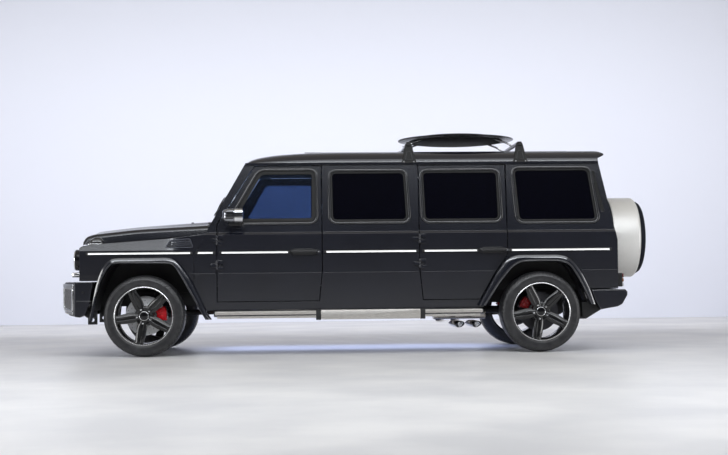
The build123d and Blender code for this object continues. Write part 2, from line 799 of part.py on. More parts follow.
# Running boards on brackets from the frame rails
board_front_x = front_axle_x - 660
board_rear_x = rear_axle_x + 560
board_low_z = 328
board_high_z = 420
board_inner_y = sill_half_width - 126
with BuildPart() as running_boards:
    add(block(board_rear_x, board_front_x, board_inner_y, half_width - 2, board_low_z + 40,
              board_high_z))
    add(block(board_rear_x, board_front_x, board_inner_y, half_width - 30, board_low_z,
              board_low_z + 41))
    for step in range(4):
        x = board_front_x - 200 - step * (board_front_x - board_rear_x - 400) / 3
        add(block(x - 30, x + 30, rail_half_spacing, board_inner_y + 5, board_high_z - 30,
                  board_high_z - 4))
        add(block(x - 30, x + 30, rail_half_spacing - 30, rail_half_spacing + 30,
                  board_high_z - 30, rail_low_z))
    mirror(about=Plane.XZ)
running_boards.part.label = "running_boards"

# Exhausts: a silencer and two oval tips on each side, ahead of the rear wheels
with BuildPart() as exhausts:
    silencer_x = rear_axle_x + 600
    tip_half_length = 46
    tip_half_height = 27
    tip_wall = 5
    tip_z = board_low_z - 34
    silencer_y = board_inner_y - 60
    tip_length = half_width - silencer_y - 48
    for x in (silencer_x + 40, silencer_x + 230):
        with BuildSketch(Plane.XZ.offset(4 - silencer_y)):
            with Locations((x, tip_z)):
                Ellipse(tip_half_length, tip_half_height, rotation=-22)
        extrude(amount=tip_length, dir=(-0.22, 1, -0.06))
        with BuildSketch(Plane.XZ.offset(4 - silencer_y)):
            with Locations((x, tip_z)):
                Ellipse(tip_half_length - tip_wall, tip_half_height - tip_wall, rotation=-22)
        extrude(amount=tip_length + 5, dir=(-0.22, 1, -0.06), mode=Mode.SUBTRACT)
    add(block(silencer_x - 100, silencer_x + 400, silencer_y - 210, silencer_y, tip_z - 36,
              board_high_z - 40))
    mirror(about=Plane.XZ)
exhausts.part.label = "exhausts"

# Ladder frame
frame_front_x = front_axle_x + 640
damper_y = spring_y - 32
perch_z = 570
eye_radius = 18
eye_z = 340
front_eye_x = front_axle_x + 560
rear_eye_x = rear_axle_x - 500
frame_rear_x = rear_axle_x - 585
with BuildPart() as frame_rails:
    for side in (-1, 1):
        low, high = sorted((side * (rail_half_spacing - rail_width / 2),
                            side * (rail_half_spacing + rail_width / 2)))
        add(block(frame_rear_x, frame_front_x, low, high, rail_low_z, rail_high_z))
        # spring and damper perches above each axle
        for axle_x in (front_axle_x, rear_axle_x):
            low, high = sorted((side * rail_half_spacing, side * (spring_y + 54)))
            add(block(axle_x - 62, axle_x + 62, low, high, perch_z, rail_high_z - 2))
            low, high = sorted((side * rail_half_spacing, side * (damper_y + 32)))
            add(block(axle_x - 140, axle_x - 60, low, high, perch_z, rail_high_z - 2))
        # towing eyes under the ends of the rails
        low, high = sorted((side * (rail_half_spacing - 10), side * (rail_half_spacing + 10)))
        for eye_x in (front_eye_x, rear_eye_x):
            add(block(eye_x - 45, eye_x + 45, low, high, eye_z - 45, rail_low_z + 10))
    for eye_x in (front_eye_x, rear_eye_x):
        with BuildSketch(Plane.XZ.offset(-half_width)):
            with Locations((eye_x, eye_z)):
                Circle(eye_radius)
        extrude(amount=overall_width, mode=Mode.SUBTRACT)
frame_rails.part.label = "frame_rails"

cross_half = rail_half_spacing - rail_width / 2
with BuildPart() as frame_crossmembers:
    for step in range(7):
        x = frame_front_x - 50 - step * (frame_front_x - frame_rear_x - 100) / 6
        add(block(x - 40, x + 40, -cross_half, cross_half, rail_low_z + 15, rail_high_z - 15))
frame_crossmembers.part.label = "frame_crossmembers"

engine_half_width = housing_inner_y - 118
gearbox_half_width = engine_half_width - 110
with BuildPart() as engine_block:
    add(block(front_axle_x - 420, front_axle_x + 260, -engine_half_width, engine_half_width,
              rail_high_z + 5, 1040))
    add(block(front_axle_x - 560, front_axle_x - 400, -gearbox_half_width, gearbox_half_width,
              rail_high_z + 5, 900))
engine_block.part.label = "engine_block"

with BuildPart() as fuel_tank:
    add(block(rear_axle_x - 650, rear_axle_x - 200, 20 - cross_half, cross_half - 20, 440,
              rail_low_z + 14))
fuel_tank.part.label = "fuel_tank"

# Live axles
axle_tube_radius = 48
pad_z = tyre_radius + axle_tube_radius + 6
lug_reach = 112
lug_height = 20


def axle_beam(axle_x, tube_end):
    # tube with the differential housing in the middle
    with BuildPart(mode=Mode.PRIVATE) as beam:
        with BuildSketch(Plane.XZ.offset(-tube_end)):
            with Locations((axle_x, tyre_radius)):
                Circle(axle_tube_radius)
        extrude(amount=2 * tube_end)
        with Locations((axle_x, 60, tyre_radius)):
            Sphere(120)
        # flat top of the housing, under the frame
        add(block(axle_x - 130, axle_x + 130, -60, 180, tyre_radius + 80, tyre_radius + 200),
            mode=Mode.SUBTRACT)
        # pads below the springs and dampers
        for side in (-1, 1):
            low, high = sorted((side * (spring_y - 54), side * (spring_y + 54)))
            add(block(axle_x - 58, axle_x + 58, low, high, pad_z - 16, pad_z))
            low, high = sorted((side * (damper_y - 32), side * (damper_y + 32)))
            add(block(axle_x - 138, axle_x - 56, low, high, pad_z - 16, pad_z))
    return beam.part


with BuildPart() as front_axle:
    add(axle_beam(front_axle_x, kingpin_y - 55))
    for side in (-1, 1):
        low, high = sorted((side * (kingpin_y - 57), side * (kingpin_y - 37)))
        add(block(front_axle_x - 36, front_axle_x + 36, low, high,
                  tyre_radius - lug_reach, tyre_radius + lug_reach))
        low, high = sorted((side * (kingpin_y - 40), side * kingpin_y))
        for end in (-1, 1):
            bottom, top = sorted((tyre_radius + end * lug_reach,
                                  tyre_radius + end * (lug_reach - lug_height)))
            add(block(front_axle_x - 30, front_axle_x + 30, low, high, bottom, top))
            with Locations((front_axle_x, side * kingpin_y, (bottom + top) / 2)):
                Cylinder(30, lug_height)
    for side in (-1, 1):
        with Locations((front_axle_x, side * kingpin_y, tyre_radius)):
            Cylinder(14, 4 * lug_reach, mode=Mode.SUBTRACT)
front_axle.part.label = "front_axle"

spindle_end_y = wheel_y + 30
with BuildPart() as rear_axle:
    add(axle_beam(rear_axle_x, kingpin_y))
    for side in (-1, 1):
        with BuildSketch(Plane.XZ.offset(-side * (kingpin_y - 10))):
            with Locations((rear_axle_x, tyre_radius)):
                Circle(spindle_radius)
        extrude(amount=-side * (spindle_end_y - kingpin_y + 10))
        # brake caliper carrier and caliper ahead of and above the hub
        low, high = sorted((side * (wheel_y - 62), side * (wheel_y - 90)))
        add(block(rear_axle_x + 40, rear_axle_x + 150, low, high, tyre_radius + 40,
                  tyre_radius + 130))
        add(block(rear_axle_x - 20, rear_axle_x + 80, low, high, tyre_radius - 10,
                  tyre_radius + 90))
rear_axle.part.label = "rear_axle"

with BuildPart() as suspension:
    for axle_x in (front_axle_x, rear_axle_x):
        with Locations((axle_x, spring_y, (pad_z + perch_z) / 2)):
            Cylinder(50, perch_z - pad_z)
        with Locations((axle_x - 105, damper_y, (pad_z + perch_z) / 2)):
            Cylinder(24, perch_z - pad_z)
    mirror(about=Plane.XZ)
suspension.part.label = "suspension"

# Knuckles turn on kingpins between the axle's lugs and carry the spindle and caliper
disc_y = wheel_y - 35


def knuckle():
    # post, pins, spindle and caliper of the left side
    post_half = lug_reach - lug_height - 1
    with BuildPart(mode=Mode.PRIVATE) as part:
        with Locations((front_axle_x, kingpin_y, tyre_radius)):
            Cylinder(28, 2 * post_half)
            Cylinder(14 - running_gap, 2 * lug_reach)
        with BuildSketch(Plane.XZ.offset(-kingpin_y)):
            with Locations((front_axle_x, tyre_radius)):
                Circle(spindle_radius)
        extrude(amount=-(spindle_end_y - kingpin_y))
        add(block(front_axle_x - 200, front_axle_x, kingpin_y + 10, kingpin_y + 34,
                  tyre_radius - 30, tyre_radius + 30))
        caliper = [(front_axle_x - 110, tyre_radius - 70), (front_axle_x - 110, tyre_radius + 80),
                   (front_axle_x - 170, tyre_radius + 110), (front_axle_x - 215, tyre_radius + 40),
                   (front_axle_x - 215, tyre_radius - 60), (front_axle_x - 160, tyre_radius - 110)]
        add(plate(caliper, disc_y - 44, disc_y + 44))
        with BuildSketch(Plane.XZ.offset(-(disc_y - 20))):
            with Locations((front_axle_x, tyre_radius)):
                Circle(brake_disc_radius + 6)
        extrude(amount=-40, mode=Mode.SUBTRACT)
        with BuildSketch(Plane.XZ.offset(-(disc_y - 21))):
            with Locations((front_axle_x, tyre_radius)):
                Circle(spindle_radius)
        extrude(amount=-42)
    return part.part


with BuildPart() as knuckle_left:
    add(knuckle())
knuckle_left.part.label = "knuckle_left"

with BuildPart() as knuckle_right:
    mirror(knuckle_left.part, about=Plane.XZ)
knuckle_right.part.label = "knuckle_right"


# Wheels: a tyre, and a five spoke rim with its hub and brake disc
def rim(axle_x):
    # barrel and lips turned about the axle, then hub, spokes and disc
    spoke_length = rim_radius - 78
    with BuildPart(mode=Mode.PRIVATE) as wheel:
        with BuildSketch(Plane.XY.offset(tyre_radius)):
            with BuildLine():
                half = rim_width / 2
                lip = 10
                bead = rim_radius - bead_depth
                bore = bead - rim_wall
                Polyline(
                    (axle_x + bore, wheel_y - half), (axle_x + rim_radius, wheel_y - half),
                    (axle_x + rim_radius, wheel_y - half + lip), (axle_x + bead, wheel_y - half + lip),
                    (axle_x + bead, wheel_y + half - lip), (axle_x + rim_radius, wheel_y + half - lip),
                    (axle_x + rim_radius, wheel_y + half), (axle_x + bore + 6, wheel_y + half),
                    (axle_x + bore, wheel_y + half - 14), close=True)
            make_face()
        revolve(axis=Axis((axle_x, 0, tyre_radius), (0, 1, 0)))
        with BuildSketch(Plane.XZ.offset(-(wheel_y + half - 46))):
            with Locations((axle_x, tyre_radius)):
                Circle(78)
                with PolarLocations(0, 5, start_angle=-90):
                    with Locations((57 + spoke_length / 2, 0)):
                        Rectangle(spoke_length, 66)
        extrude(amount=-34)
        with BuildSketch(Plane.XZ.offset(-(disc_y - 15))):
            with Locations((axle_x, tyre_radius)):
                Circle(brake_disc_radius)
        extrude(amount=-30)
        with BuildSketch(Plane.XZ.offset(-(disc_y - 15))):
            with Locations((axle_x, tyre_radius)):
                Circle(66)
        extrude(amount=-(wheel_y + half - 30 - disc_y + 15))
        with BuildSketch(Plane.XZ.offset(-(disc_y - 16))):
            with Locations((axle_x, tyre_radius)):
                Circle(spindle_radius + running_gap)
        extrude(amount=-(spindle_end_y - disc_y + 18), mode=Mode.SUBTRACT)
    return wheel.part


def tyre(axle_x):
    # rounded shoulders and bulging walls, seated between the rim's lips
    seat = rim_width / 2 - 10.5
    side = tyre_width / 2
    bead = axle_x + rim_radius - bead_depth + 0.3
    lip = axle_x + rim_radius + 2
    tread = axle_x + tyre_radius
    with BuildPart(mode=Mode.PRIVATE) as ring:
        with BuildSketch(Plane.XY.offset(tyre_radius)):
            with BuildLine():
                Polyline(
                    (bead, wheel_y - seat), (lip, wheel_y - seat),
                    (lip + 26, wheel_y - side), (tread - 44.5, wheel_y - side),
                    (tread - 16.5, wheel_y - side + 12), (tread - 4.5, wheel_y - side + 26),
                    (tread, wheel_y - side + 44),
                    (tread, wheel_y + side - 44),
                    (tread - 4.5, wheel_y + side - 26), (tread - 16.5, wheel_y + side - 12),
                    (tread - 44.5, wheel_y + side), (lip + 26, wheel_y + side),
                    (lip, wheel_y + seat), (bead, wheel_y + seat),
                    close=True)
            make_face()
        revolve(axis=Axis((axle_x, 0, tyre_radius), (0, 1, 0)))
    return ring.part


wheels = []
for place, axle_x in (("front", front_axle_x), ("rear", rear_axle_x)):
    for name, shape in (("rim", rim(axle_x)), ("tyre", tyre(axle_x))):
        with BuildPart() as left:
            add(shape)
        left.part.label = f"{name}_{place}_left"
        with BuildPart() as right:
            mirror(shape, about=Plane.XZ)
        right.part.label = f"{name}_{place}_right"
        wheels += [left, right]

# Cabin
with BuildPart() as dashboard:
    dash = [(firewall_x - 32, 1000), (firewall_x - 32, 1116), (firewall_x - 104, 1116),
            (firewall_x - 104, 1196), (firewall_x - 250, 1200), (firewall_x - 330, 1150),
            (firewall_x - 310, 980), (firewall_x - 150, 890)]
    add(plate(dash, 40 - cabin_half_width, cabin_half_width - 40))
dashboard.part.label = "dashboard"

seat_width = 520
seat_y = cabin_half_width - seat_width / 2 - 100
bench_width = 2 * (cabin_half_width - 190)
steer_centre = (firewall_x - 470, seat_y, 1130)
with BuildPart() as steering_wheel:
    wheel_plane = Plane(origin=steer_centre, x_dir=(0, 1, 0), z_dir=(-0.9, 0, 0.44))
    with BuildSketch(wheel_plane):
        Circle(190)
        Circle(162, mode=Mode.SUBTRACT)
        Circle(58)
        Rectangle(340, 40)
    extrude(amount=24)
    with BuildSketch(wheel_plane):
        Circle(26)
    extrude(amount=-190)
steering_wheel.part.label = "steering_wheel"


def seat(x, y, width, back_height):
    # base, cushion and leaning back, one closed solid
    side = [(x, floor_high_z + 1), (x, 900), (x - 30, 950), (x - 420, 930),
            (x - 560, 930 + back_height), (x - 680, 930 + back_height), (x - 560, 900),
            (x - 520, floor_high_z + 1)]
    return plate(side, y - width / 2, y + width / 2)


with BuildPart() as seats:
    front_seat_x = front_door_x - 420
    for y in (-seat_y, seat_y):
        add(seat(front_seat_x, y, seat_width, 620))
    for x in (front_seat_x - 1150, front_seat_x - 2050):
        add(seat(x, 0, bench_width, 560))
seats.part.label = "seats"

# Roof equipment: two crossbars on gutter towers, carrying a round aerial housing
aerial_x = front_axle_x - 3070
aerial_radius = 590
bar_spacing = 1080
bar_z = roof_crown_z + 46
with BuildPart() as roof_bars:
    for x in (aerial_x + bar_spacing / 2, aerial_x - bar_spacing / 2):
        add(block(x - 16, x + 16, -gutter_half_width + 40, gutter_half_width - 40, bar_z - 14,
                  bar_z + 14))
        for side in (-1, 1):
            foot = [(side * (gutter_half_width + 12), gutter_z + 2),
                    (side * (gutter_half_width + 12), gutter_z + 30),
                    (side * (gutter_half_width - 30), bar_z + 20),
                    (side * (gutter_half_width - 90), bar_z + 20),
                    (side * (gutter_half_width - 90), bar_z - 20),
                    (side * (gutter_half_width - 90), gutter_z + 2)]
            add(prism(foot, x - 40, x + 40) - prism(roof_section(-1), x - 50, x + 50))
roof_bars.part.label = "roof_bars"

with BuildPart() as roof_aerial:
    with Locations((aerial_x, 0, bar_z + 14 + 22)):
        Cylinder(aerial_radius, 44)
    with Locations((aerial_x, 0, bar_z + 14 + 44 + 40)):
        Cone(aerial_radius - 20, 430, 80)
roof_aerial.part.label = "roof_aerial"

pieces = [
    body_side_left, body_side_right, front_door_left, rear_door_left, front_door_right,
    rear_door_right, front_door_glass_left, rear_door_glass_left, front_door_glass_right,
    rear_door_glass_right, fixed_side_glass, mirror_left, mirror_right, roof_panel, body_tub,
    wheel_housings, front_wings, front_panel, radiator_grille, headlamps, turn_signals, bonnet,
    windscreen, cargo_door, cargo_door_glass, spare_wheel_cover, front_bumper, rear_bumper,
    tail_lamps, arch_flares, running_boards, exhausts, frame_rails, frame_crossmembers,
    engine_block, fuel_tank, front_axle, rear_axle, suspension, knuckle_left, knuckle_right,
    dashboard, steering_wheel, seats, roof_bars, roof_aerial,
] + wheels
for piece in pieces:
    export_step(piece.part, f"parts/{piece.part.label}.step")
    print(piece.part.label, len(piece.part.solids()))
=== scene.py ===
import json
from math import cos, degrees, pi, radians, sin

import bmesh
import bpy
import numpy as np
from mathutils import Matrix, Vector
from mathutils.bvhtree import BVHTree

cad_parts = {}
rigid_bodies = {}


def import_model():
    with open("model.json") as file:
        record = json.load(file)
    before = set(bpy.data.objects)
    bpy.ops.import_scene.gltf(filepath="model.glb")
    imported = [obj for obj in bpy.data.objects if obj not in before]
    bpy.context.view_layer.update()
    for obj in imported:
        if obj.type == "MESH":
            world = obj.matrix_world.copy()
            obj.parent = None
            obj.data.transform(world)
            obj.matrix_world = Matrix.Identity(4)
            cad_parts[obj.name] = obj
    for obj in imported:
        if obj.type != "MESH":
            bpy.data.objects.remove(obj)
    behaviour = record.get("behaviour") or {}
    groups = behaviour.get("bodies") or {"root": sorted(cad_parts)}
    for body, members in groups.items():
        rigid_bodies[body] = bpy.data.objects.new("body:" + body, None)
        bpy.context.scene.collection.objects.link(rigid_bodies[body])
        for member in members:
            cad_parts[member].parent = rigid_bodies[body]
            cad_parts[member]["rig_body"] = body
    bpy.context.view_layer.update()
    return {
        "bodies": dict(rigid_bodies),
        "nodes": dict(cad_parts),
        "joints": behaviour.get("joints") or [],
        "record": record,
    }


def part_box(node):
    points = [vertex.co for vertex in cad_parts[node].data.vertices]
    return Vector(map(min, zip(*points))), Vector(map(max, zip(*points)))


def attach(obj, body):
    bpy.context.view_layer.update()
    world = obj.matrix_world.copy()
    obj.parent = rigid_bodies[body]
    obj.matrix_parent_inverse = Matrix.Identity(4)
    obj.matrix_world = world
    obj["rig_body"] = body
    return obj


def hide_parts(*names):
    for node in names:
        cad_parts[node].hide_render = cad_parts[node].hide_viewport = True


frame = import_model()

nodes = frame["nodes"]
bodyOf = {name: node["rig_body"] for name, node in nodes.items()}
sides = {"left": 1, "right": -1}
# largest share of a side that a cut corner may take, and gaps in metres that are welded shut
cornerLimit = 0.49
weldGap = {"drawn": 1e-6, "cad": 2e-5}
print("frame loaded,", len(nodes), "nodes")


class Wire:
    # a shader value that can be added, multiplied and compared like a number
    def __init__(self, tree, socket):
        self.tree = tree
        self.socket = socket

    def join(self, kind, first, second=None):
        node = self.tree.nodes.new("ShaderNodeMath")
        node.operation = kind
        for slot, value in enumerate((first, second)):
            if isinstance(value, Wire):
                self.tree.links.new(value.socket, node.inputs[slot])
            elif value is not None:
                node.inputs[slot].default_value = value
        return Wire(self.tree, node.outputs[0])

    def __add__(self, other):
        return self.join("ADD", self, other)

    def __radd__(self, other):
        return self.join("ADD", other, self)

    def __sub__(self, other):
        return self.join("SUBTRACT", self, other)

    def __rsub__(self, other):
        return self.join("SUBTRACT", other, self)

    def __mul__(self, other):
        return self.join("MULTIPLY", self, other)

    def __rmul__(self, other):
        return self.join("MULTIPLY", other, self)

    def __lt__(self, other):
        return self.join("LESS_THAN", self, other)

    def __gt__(self, other):
        return self.join("GREATER_THAN", self, other)

    def abs(self):
        return self.join("ABSOLUTE", self)

    def sine(self):
        return self.join("SINE", self)

    def least(self, other):
        return self.join("MINIMUM", self, other)

    def ramp(self, low, high, out=(0, 1)):
        # straight ramp from low to high, held at both ends
        node = self.tree.nodes.new("ShaderNodeMapRange")
        node.clamp = True
        self.tree.links.new(self.socket, node.inputs["Value"])
        for name, value in (("From Min", low), ("From Max", high), ("To Min", out[0]), ("To Max", out[1])):
            node.inputs[name].default_value = value
        return Wire(self.tree, node.outputs[0])


class Finish:
    # one material: a principled surface whose varying inputs are given as wires
    def __init__(self, name, **fixed):
        self.material = bpy.data.materials.new(name)
        self.material.use_nodes = True
        self.tree = self.material.node_tree
        self.surface = self.tree.nodes["Principled BSDF"]
        self.set(**fixed)

    def set(self, **values):
        # plain numbers and colours go straight on the sockets, wires are linked
        for key, value in values.items():
            socket = self.surface.inputs[key.replace("_", " ")]
            if isinstance(value, Wire):
                self.tree.links.new(value.socket, socket)
            elif isinstance(value, (tuple, list)) and len(value) == 3 and socket.type == "RGBA":
                socket.default_value = (*value, 1)
            else:
                socket.default_value = value
        return self

    def node(self, kind, settings=None, out=0, **inputs):
        # any other node: its settings first, then its sockets
        node = self.tree.nodes.new("ShaderNode" + kind)
        for key, value in (settings or {}).items():
            setattr(node, key, value)
        for key, value in inputs.items():
            socket = node.inputs[key.replace("_", " ")]
            if isinstance(value, Wire):
                self.tree.links.new(value.socket, socket)
            else:
                socket.default_value = value
        return Wire(self.tree, node.outputs[out])

    def place(self, scale=(1, 1, 1)):
        # position on the vehicle in metres, stretched by a scale
        spot = self.node("TexCoord", out=3)
        return self.node("Mapping", Vector=spot, Scale=scale)

    def axis(self, name):
        # one coordinate of the position, in metres
        return self.node("SeparateXYZ", Vector=self.node("TexCoord", out=3), out="XYZ".index(name))

    def noise(self, size, detail=3, rough=0.5, stretch=(1, 1, 1)):
        # cloudy values about 0.5 whose patches are about size metres across
        return self.node("TexNoise", Vector=self.place(stretch), Scale=1 / size, Detail=detail,
            Roughness=rough)

    def blend(self, factor, first, second):
        # colour between two colours
        node = self.tree.nodes.new("ShaderNodeMix")
        node.data_type = "RGBA"
        self.tree.links.new(factor.socket, node.inputs[0])
        for slot, value in ((6, first), (7, second)):
            if isinstance(value, Wire):
                self.tree.links.new(value.socket, node.inputs[slot])
            else:
                node.inputs[slot].default_value = (*value, 1)
        return Wire(self.tree, node.outputs[2])

    def shade(self, value, low, high, colour, change):
        # colour that is multiplied by a change as a value climbs from low to high
        return self.blend(value.ramp(low, high), colour, tuple(change * c for c in colour))

    def bump(self, height, distance, strength=0.5):
        self.set(Normal=self.node("Bump", Height=height, Distance=distance, Strength=strength))
        return self


def satinPaint(name, colour, gloss):
    # satin lacquer: faint cloudiness in gloss, a fine peel in the surface
    finish = Finish(name, Coat_Weight=0.25, Coat_Roughness=0.28, Specular_IOR_Level=0.32)
    cloud = finish.noise(0.35, 4)
    dust = finish.noise(0.02, 5)
    finish.set(Base_Color=finish.shade(cloud, 0.3, 0.7, colour, 1.35),
        Roughness=gloss + 0.05 * cloud + 0.04 * dust)
    return finish.bump(finish.noise(0.004, 2), 0.0004, 0.08)


def plastic(name, colour, gloss, grain):
    # moulded plastic with a leathery grain of small cells
    finish = Finish(name, Specular_IOR_Level=0.4)
    cells = finish.node("TexVoronoi", {"feature": "SMOOTH_F1"}, Vector=finish.place(), Scale=1 / grain)
    wear = finish.noise(0.15, 4)
    finish.set(Base_Color=finish.shade(wear, 0.35, 0.7, colour, 1.6), Roughness=gloss + 0.1 * wear)
    return finish.bump(cells, 0.0003, 0.35)


def polished(name, colour, gloss):
    # bright metal with faint smudges
    finish = Finish(name, Metallic=1)
    smudge = finish.noise(0.06, 4)
    finish.set(Base_Color=finish.shade(smudge, 0.3, 0.7, colour, 0.86), Roughness=gloss + 0.08 * smudge)
    return finish


def brushed(name, colour, gloss, stretch):
    # metal with fine lines drawn one way; stretch is small along the lines
    finish = Finish(name, Metallic=1)
    lines = finish.noise(0.003, 3, 0.6, stretch)
    cloud = finish.noise(0.2, 3)
    finish.set(Base_Color=finish.shade(lines, 0.3, 0.7, colour, 0.7),
        Roughness=gloss + 0.12 * lines + 0.06 * cloud)
    return finish.bump(lines, 0.0002, 0.2)


def ironWork(name, colour, gloss, grain):
    # cast or forged metal: coarse grain, with a brown bloom in its hollows
    finish = Finish(name, Metallic=0.6)
    rough = finish.noise(grain, 6)
    bloom = finish.noise(0.06, 5).ramp(0.5, 0.75)
    finish.set(Base_Color=finish.blend(bloom, colour, (0.07, 0.04, 0.025)), Roughness=gloss + 0.25 * rough)
    return finish.bump(rough, 0.0012, 0.5)


def pane(name, tint, gloss=0.02):
    # tinted glass: light goes through and takes the tint, with a faint film on the face
    finish = Finish(name, Transmission_Weight=1, IOR=1.45)
    film = finish.noise(0.25, 3)
    finish.set(Base_Color=finish.shade(film, 0.3, 0.7, tint, 0.94), Roughness=gloss * film)
    return finish


def lens(name, colour, pitch):
    # moulded lens: fine optical ribs both ways
    finish = Finish(name, Specular_IOR_Level=0.6, Coat_Weight=0.6, Coat_Roughness=0.03)
    ribs = (finish.axis("Y") * (6.2832 / pitch)).sine() * (finish.axis("Z") * (6.2832 / pitch)).sine()
    finish.set(Base_Color=finish.shade(ribs, -1, 1, colour, 0.55), Roughness=0.12 + 0.04 * ribs)
    return finish.bump(ribs, 0.0008, 0.3)


def hide(name, colour, grain):
    # leather: creased cells; lighter where the folds rise and darker in their hollows: a little wear on the
    # high parts, and painted shade in the creases
    finish = Finish(name, Specular_IOR_Level=0.45, Coat_Weight=0.08, Coat_Roughness=0.4)
    cells = finish.node("TexVoronoi", {"feature": "F1"}, Vector=finish.place(), Scale=1 / grain)
    folds = finish.noise(0.05, 5)
    height = cells * 0.6 + folds * 0.8
    finish.set(Base_Color=finish.shade(folds, 0.35, 0.75, colour, 1.9), Roughness=0.42 + 0.18 * folds)
    return finish.bump(height, 0.0008, 0.45)


def pile(name, colour):
    # carpet or headlining: short tufts, half as bright where their bump is low: painted shade between the
    # tufts
    finish = Finish(name, Specular_IOR_Level=0.15, Sheen_Weight=0.3)
    tufts = finish.noise(0.004, 4, 0.7)
    shade = finish.noise(0.2, 3)
    finish.set(Base_Color=finish.blend(tufts.ramp(0.3, 0.7), tuple(0.5 * c for c in colour), colour),
        Roughness=0.85 + 0.1 * shade)
    return finish.bump(tufts, 0.003, 0.8)


def rubberCompound(name):
    # tyre rubber: dusty where it is worn, finely ribbed by the mould
    finish = Finish(name, Specular_IOR_Level=0.5)
    dust = finish.noise(0.05, 5)
    grain = finish.noise(0.003, 3)
    finish.set(Base_Color=finish.blend(dust.ramp(0.35, 0.8), (0.017, 0.017, 0.019), (0.038, 0.038, 0.04)),
        Roughness=0.24 + 0.2 * dust)
    return finish.bump(grain, 0.0006, 0.4)


def wovenMesh(name, pitch):
    # diamond mesh: open cells between crossing wires, cut out by transparency
    finish = Finish(name, Base_Color=(0.42, 0.42, 0.44), Roughness=0.4, Metallic=0.5)
    first = ((finish.axis("Y") + finish.axis("Z")) * (3.1416 / pitch)).sine().abs()
    second = ((finish.axis("Y") - finish.axis("Z")) * (3.1416 / pitch)).sine().abs()
    finish.set(Alpha=(first.least(second) < 0.45) * 1)
    return finish


paint = satinPaint("satin_black_paint", (0.0058, 0.0066, 0.0115), 0.18).set(Specular_IOR_Level=0.5,
    Coat_Weight=0.6, Coat_Roughness=0.12)
flarePaint = satinPaint("flare_black_paint", (0.0058, 0.0066, 0.0115), 0.14).set(Specular_IOR_Level=0.7,
    Coat_Weight=1, Coat_Roughness=0.05)
framePaint = satinPaint("frame_black_paint", (0.0065, 0.0068, 0.009), 0.16).set(Specular_IOR_Level=0.7,
    Coat_Weight=0.8, Coat_Roughness=0.08)
aerialPaint = satinPaint("aerial_black_paint", (0.006, 0.006, 0.0065), 0.2)
coverFace = satinPaint("cover_black", (0.006, 0.007, 0.012), 0.45).set(Coat_Weight=0, Specular_IOR_Level=0.12)
# lighter than the body paint so the upright fins and the frame look lit: painted highlight
louvreHighlightPaint = satinPaint("louvre_painted_highlight", (0.045, 0.048, 0.062), 0.25)
glossBlack = satinPaint("gloss_black_trim", (0.005, 0.005, 0.006), 0.08).set(Coat_Roughness=0.05)
wheelPaint = satinPaint("wheel_black_lacquer", (0.006, 0.006, 0.0065), 0.16).set(Coat_Roughness=0.08,
    Coat_Weight=0.6)
redPaint = satinPaint("caliper_red", (0.72, 0.008, 0.016), 0.22)
# the rear calipers take a darker copy of the caliper red: painted shade
shadedCaliperRed = satinPaint("caliper_red_painted_shade", (0.2, 0.004, 0.006), 0.25)
chassisPaint = satinPaint("chassis_black", (0.014, 0.014, 0.015), 0.5)
grainPlastic = plastic("grained_black_plastic", (0.014, 0.014, 0.015), 0.5, 0.0016)
smoothPlastic = plastic("smooth_black_plastic", (0.012, 0.012, 0.013), 0.3, 0.0008)
dashPlastic = plastic("dash_soft_plastic", (0.03, 0.03, 0.033), 0.55, 0.0014)
greyPlastic = plastic("grey_slats", (0.22, 0.22, 0.24), 0.35, 0.001)
chrome = polished("bright_chrome", (0.82, 0.83, 0.85), 0.05)
stripChrome = polished("strip_chrome", (0.95, 0.95, 0.95), 0.36)
bowlFinish = polished("lamp_bowl", (0.2, 0.22, 0.3), 0.1)
# a darker copy of the chrome for the mirror's slatted nose, standing in for a dark reflection: painted shade
shadedChrome = polished("chrome_painted_shade", (0.34, 0.35, 0.38), 0.1)
satinChrome = polished("satin_chrome", (0.72, 0.73, 0.75), 0.16)
lipMetal = polished("turned_lip", (0.93, 0.93, 0.94), 0.22)
# the front disc steel is painted almost white so the disc looks bright inside the wheel's shade, and the rear
# discs take a dark copy of it: painted light and painted shade
litDiscSteel = brushed("disc_steel", (0.97, 0.97, 0.99), 0.34, (1, 0.2, 1)).set(Metallic=0.1)
shadedDiscSteel = brushed("disc_steel_painted_shade", (0.1, 0.1, 0.11), 0.4, (1, 0.2, 1))
stainless = brushed("brushed_stainless", (0.74, 0.71, 0.67), 0.34, (0.06, 1, 1))
coverSteel = brushed("cover_stainless", (0.98, 0.97, 0.94), 0.4, (1, 0.3, 1)).set(Metallic=0.5)
barAlloy = brushed("bar_alloy", (0.5, 0.51, 0.53), 0.3, (1, 0.05, 1))
castIron = ironWork("cast_iron", (0.1, 0.1, 0.105), 0.45, 0.006)
axlePaint = ironWork("axle_black", (0.035, 0.035, 0.037), 0.5, 0.01)
exhaustSteel = polished("exhaust_steel", (0.45, 0.42, 0.4), 0.24)
darkGlass = pane("privacy_glass", (0.003, 0.003, 0.008)).set(Transmission_Weight=0.5)
frontGlass = pane("front_side_glass", (0.17, 0.24, 0.4)).set(Transmission_Weight=0.97)
screenGlass = pane("windscreen_glass", (0.7, 0.78, 0.8))
lampGlass = pane("lamp_glass", (0.9, 0.93, 0.95))
redLens = lens("red_lens", (0.12, 0.003, 0.005), 0.012)
amberLens = lens("amber_lens", (0.3, 0.09, 0.008), 0.012)
smokeLens = lens("smoked_lens", (0.02, 0.02, 0.022), 0.014)
whiteLens = lens("white_lens", (0.75, 0.77, 0.8), 0.012)
leather = hide("black_leather", (0.018, 0.018, 0.02), 0.004)
stitch = plastic("grey_thread", (0.3, 0.3, 0.3), 0.7, 0.0008)
carpet = pile("dark_carpet", (0.045, 0.045, 0.05))
headlining = pile("grey_headlining", (0.3, 0.3, 0.31))
rubber = rubberCompound("tyre_rubber")
seal = plastic("black_seal", (0.008, 0.008, 0.008), 0.62, 0.0012)
meshWire = wovenMesh("grille_mesh", 0.016)
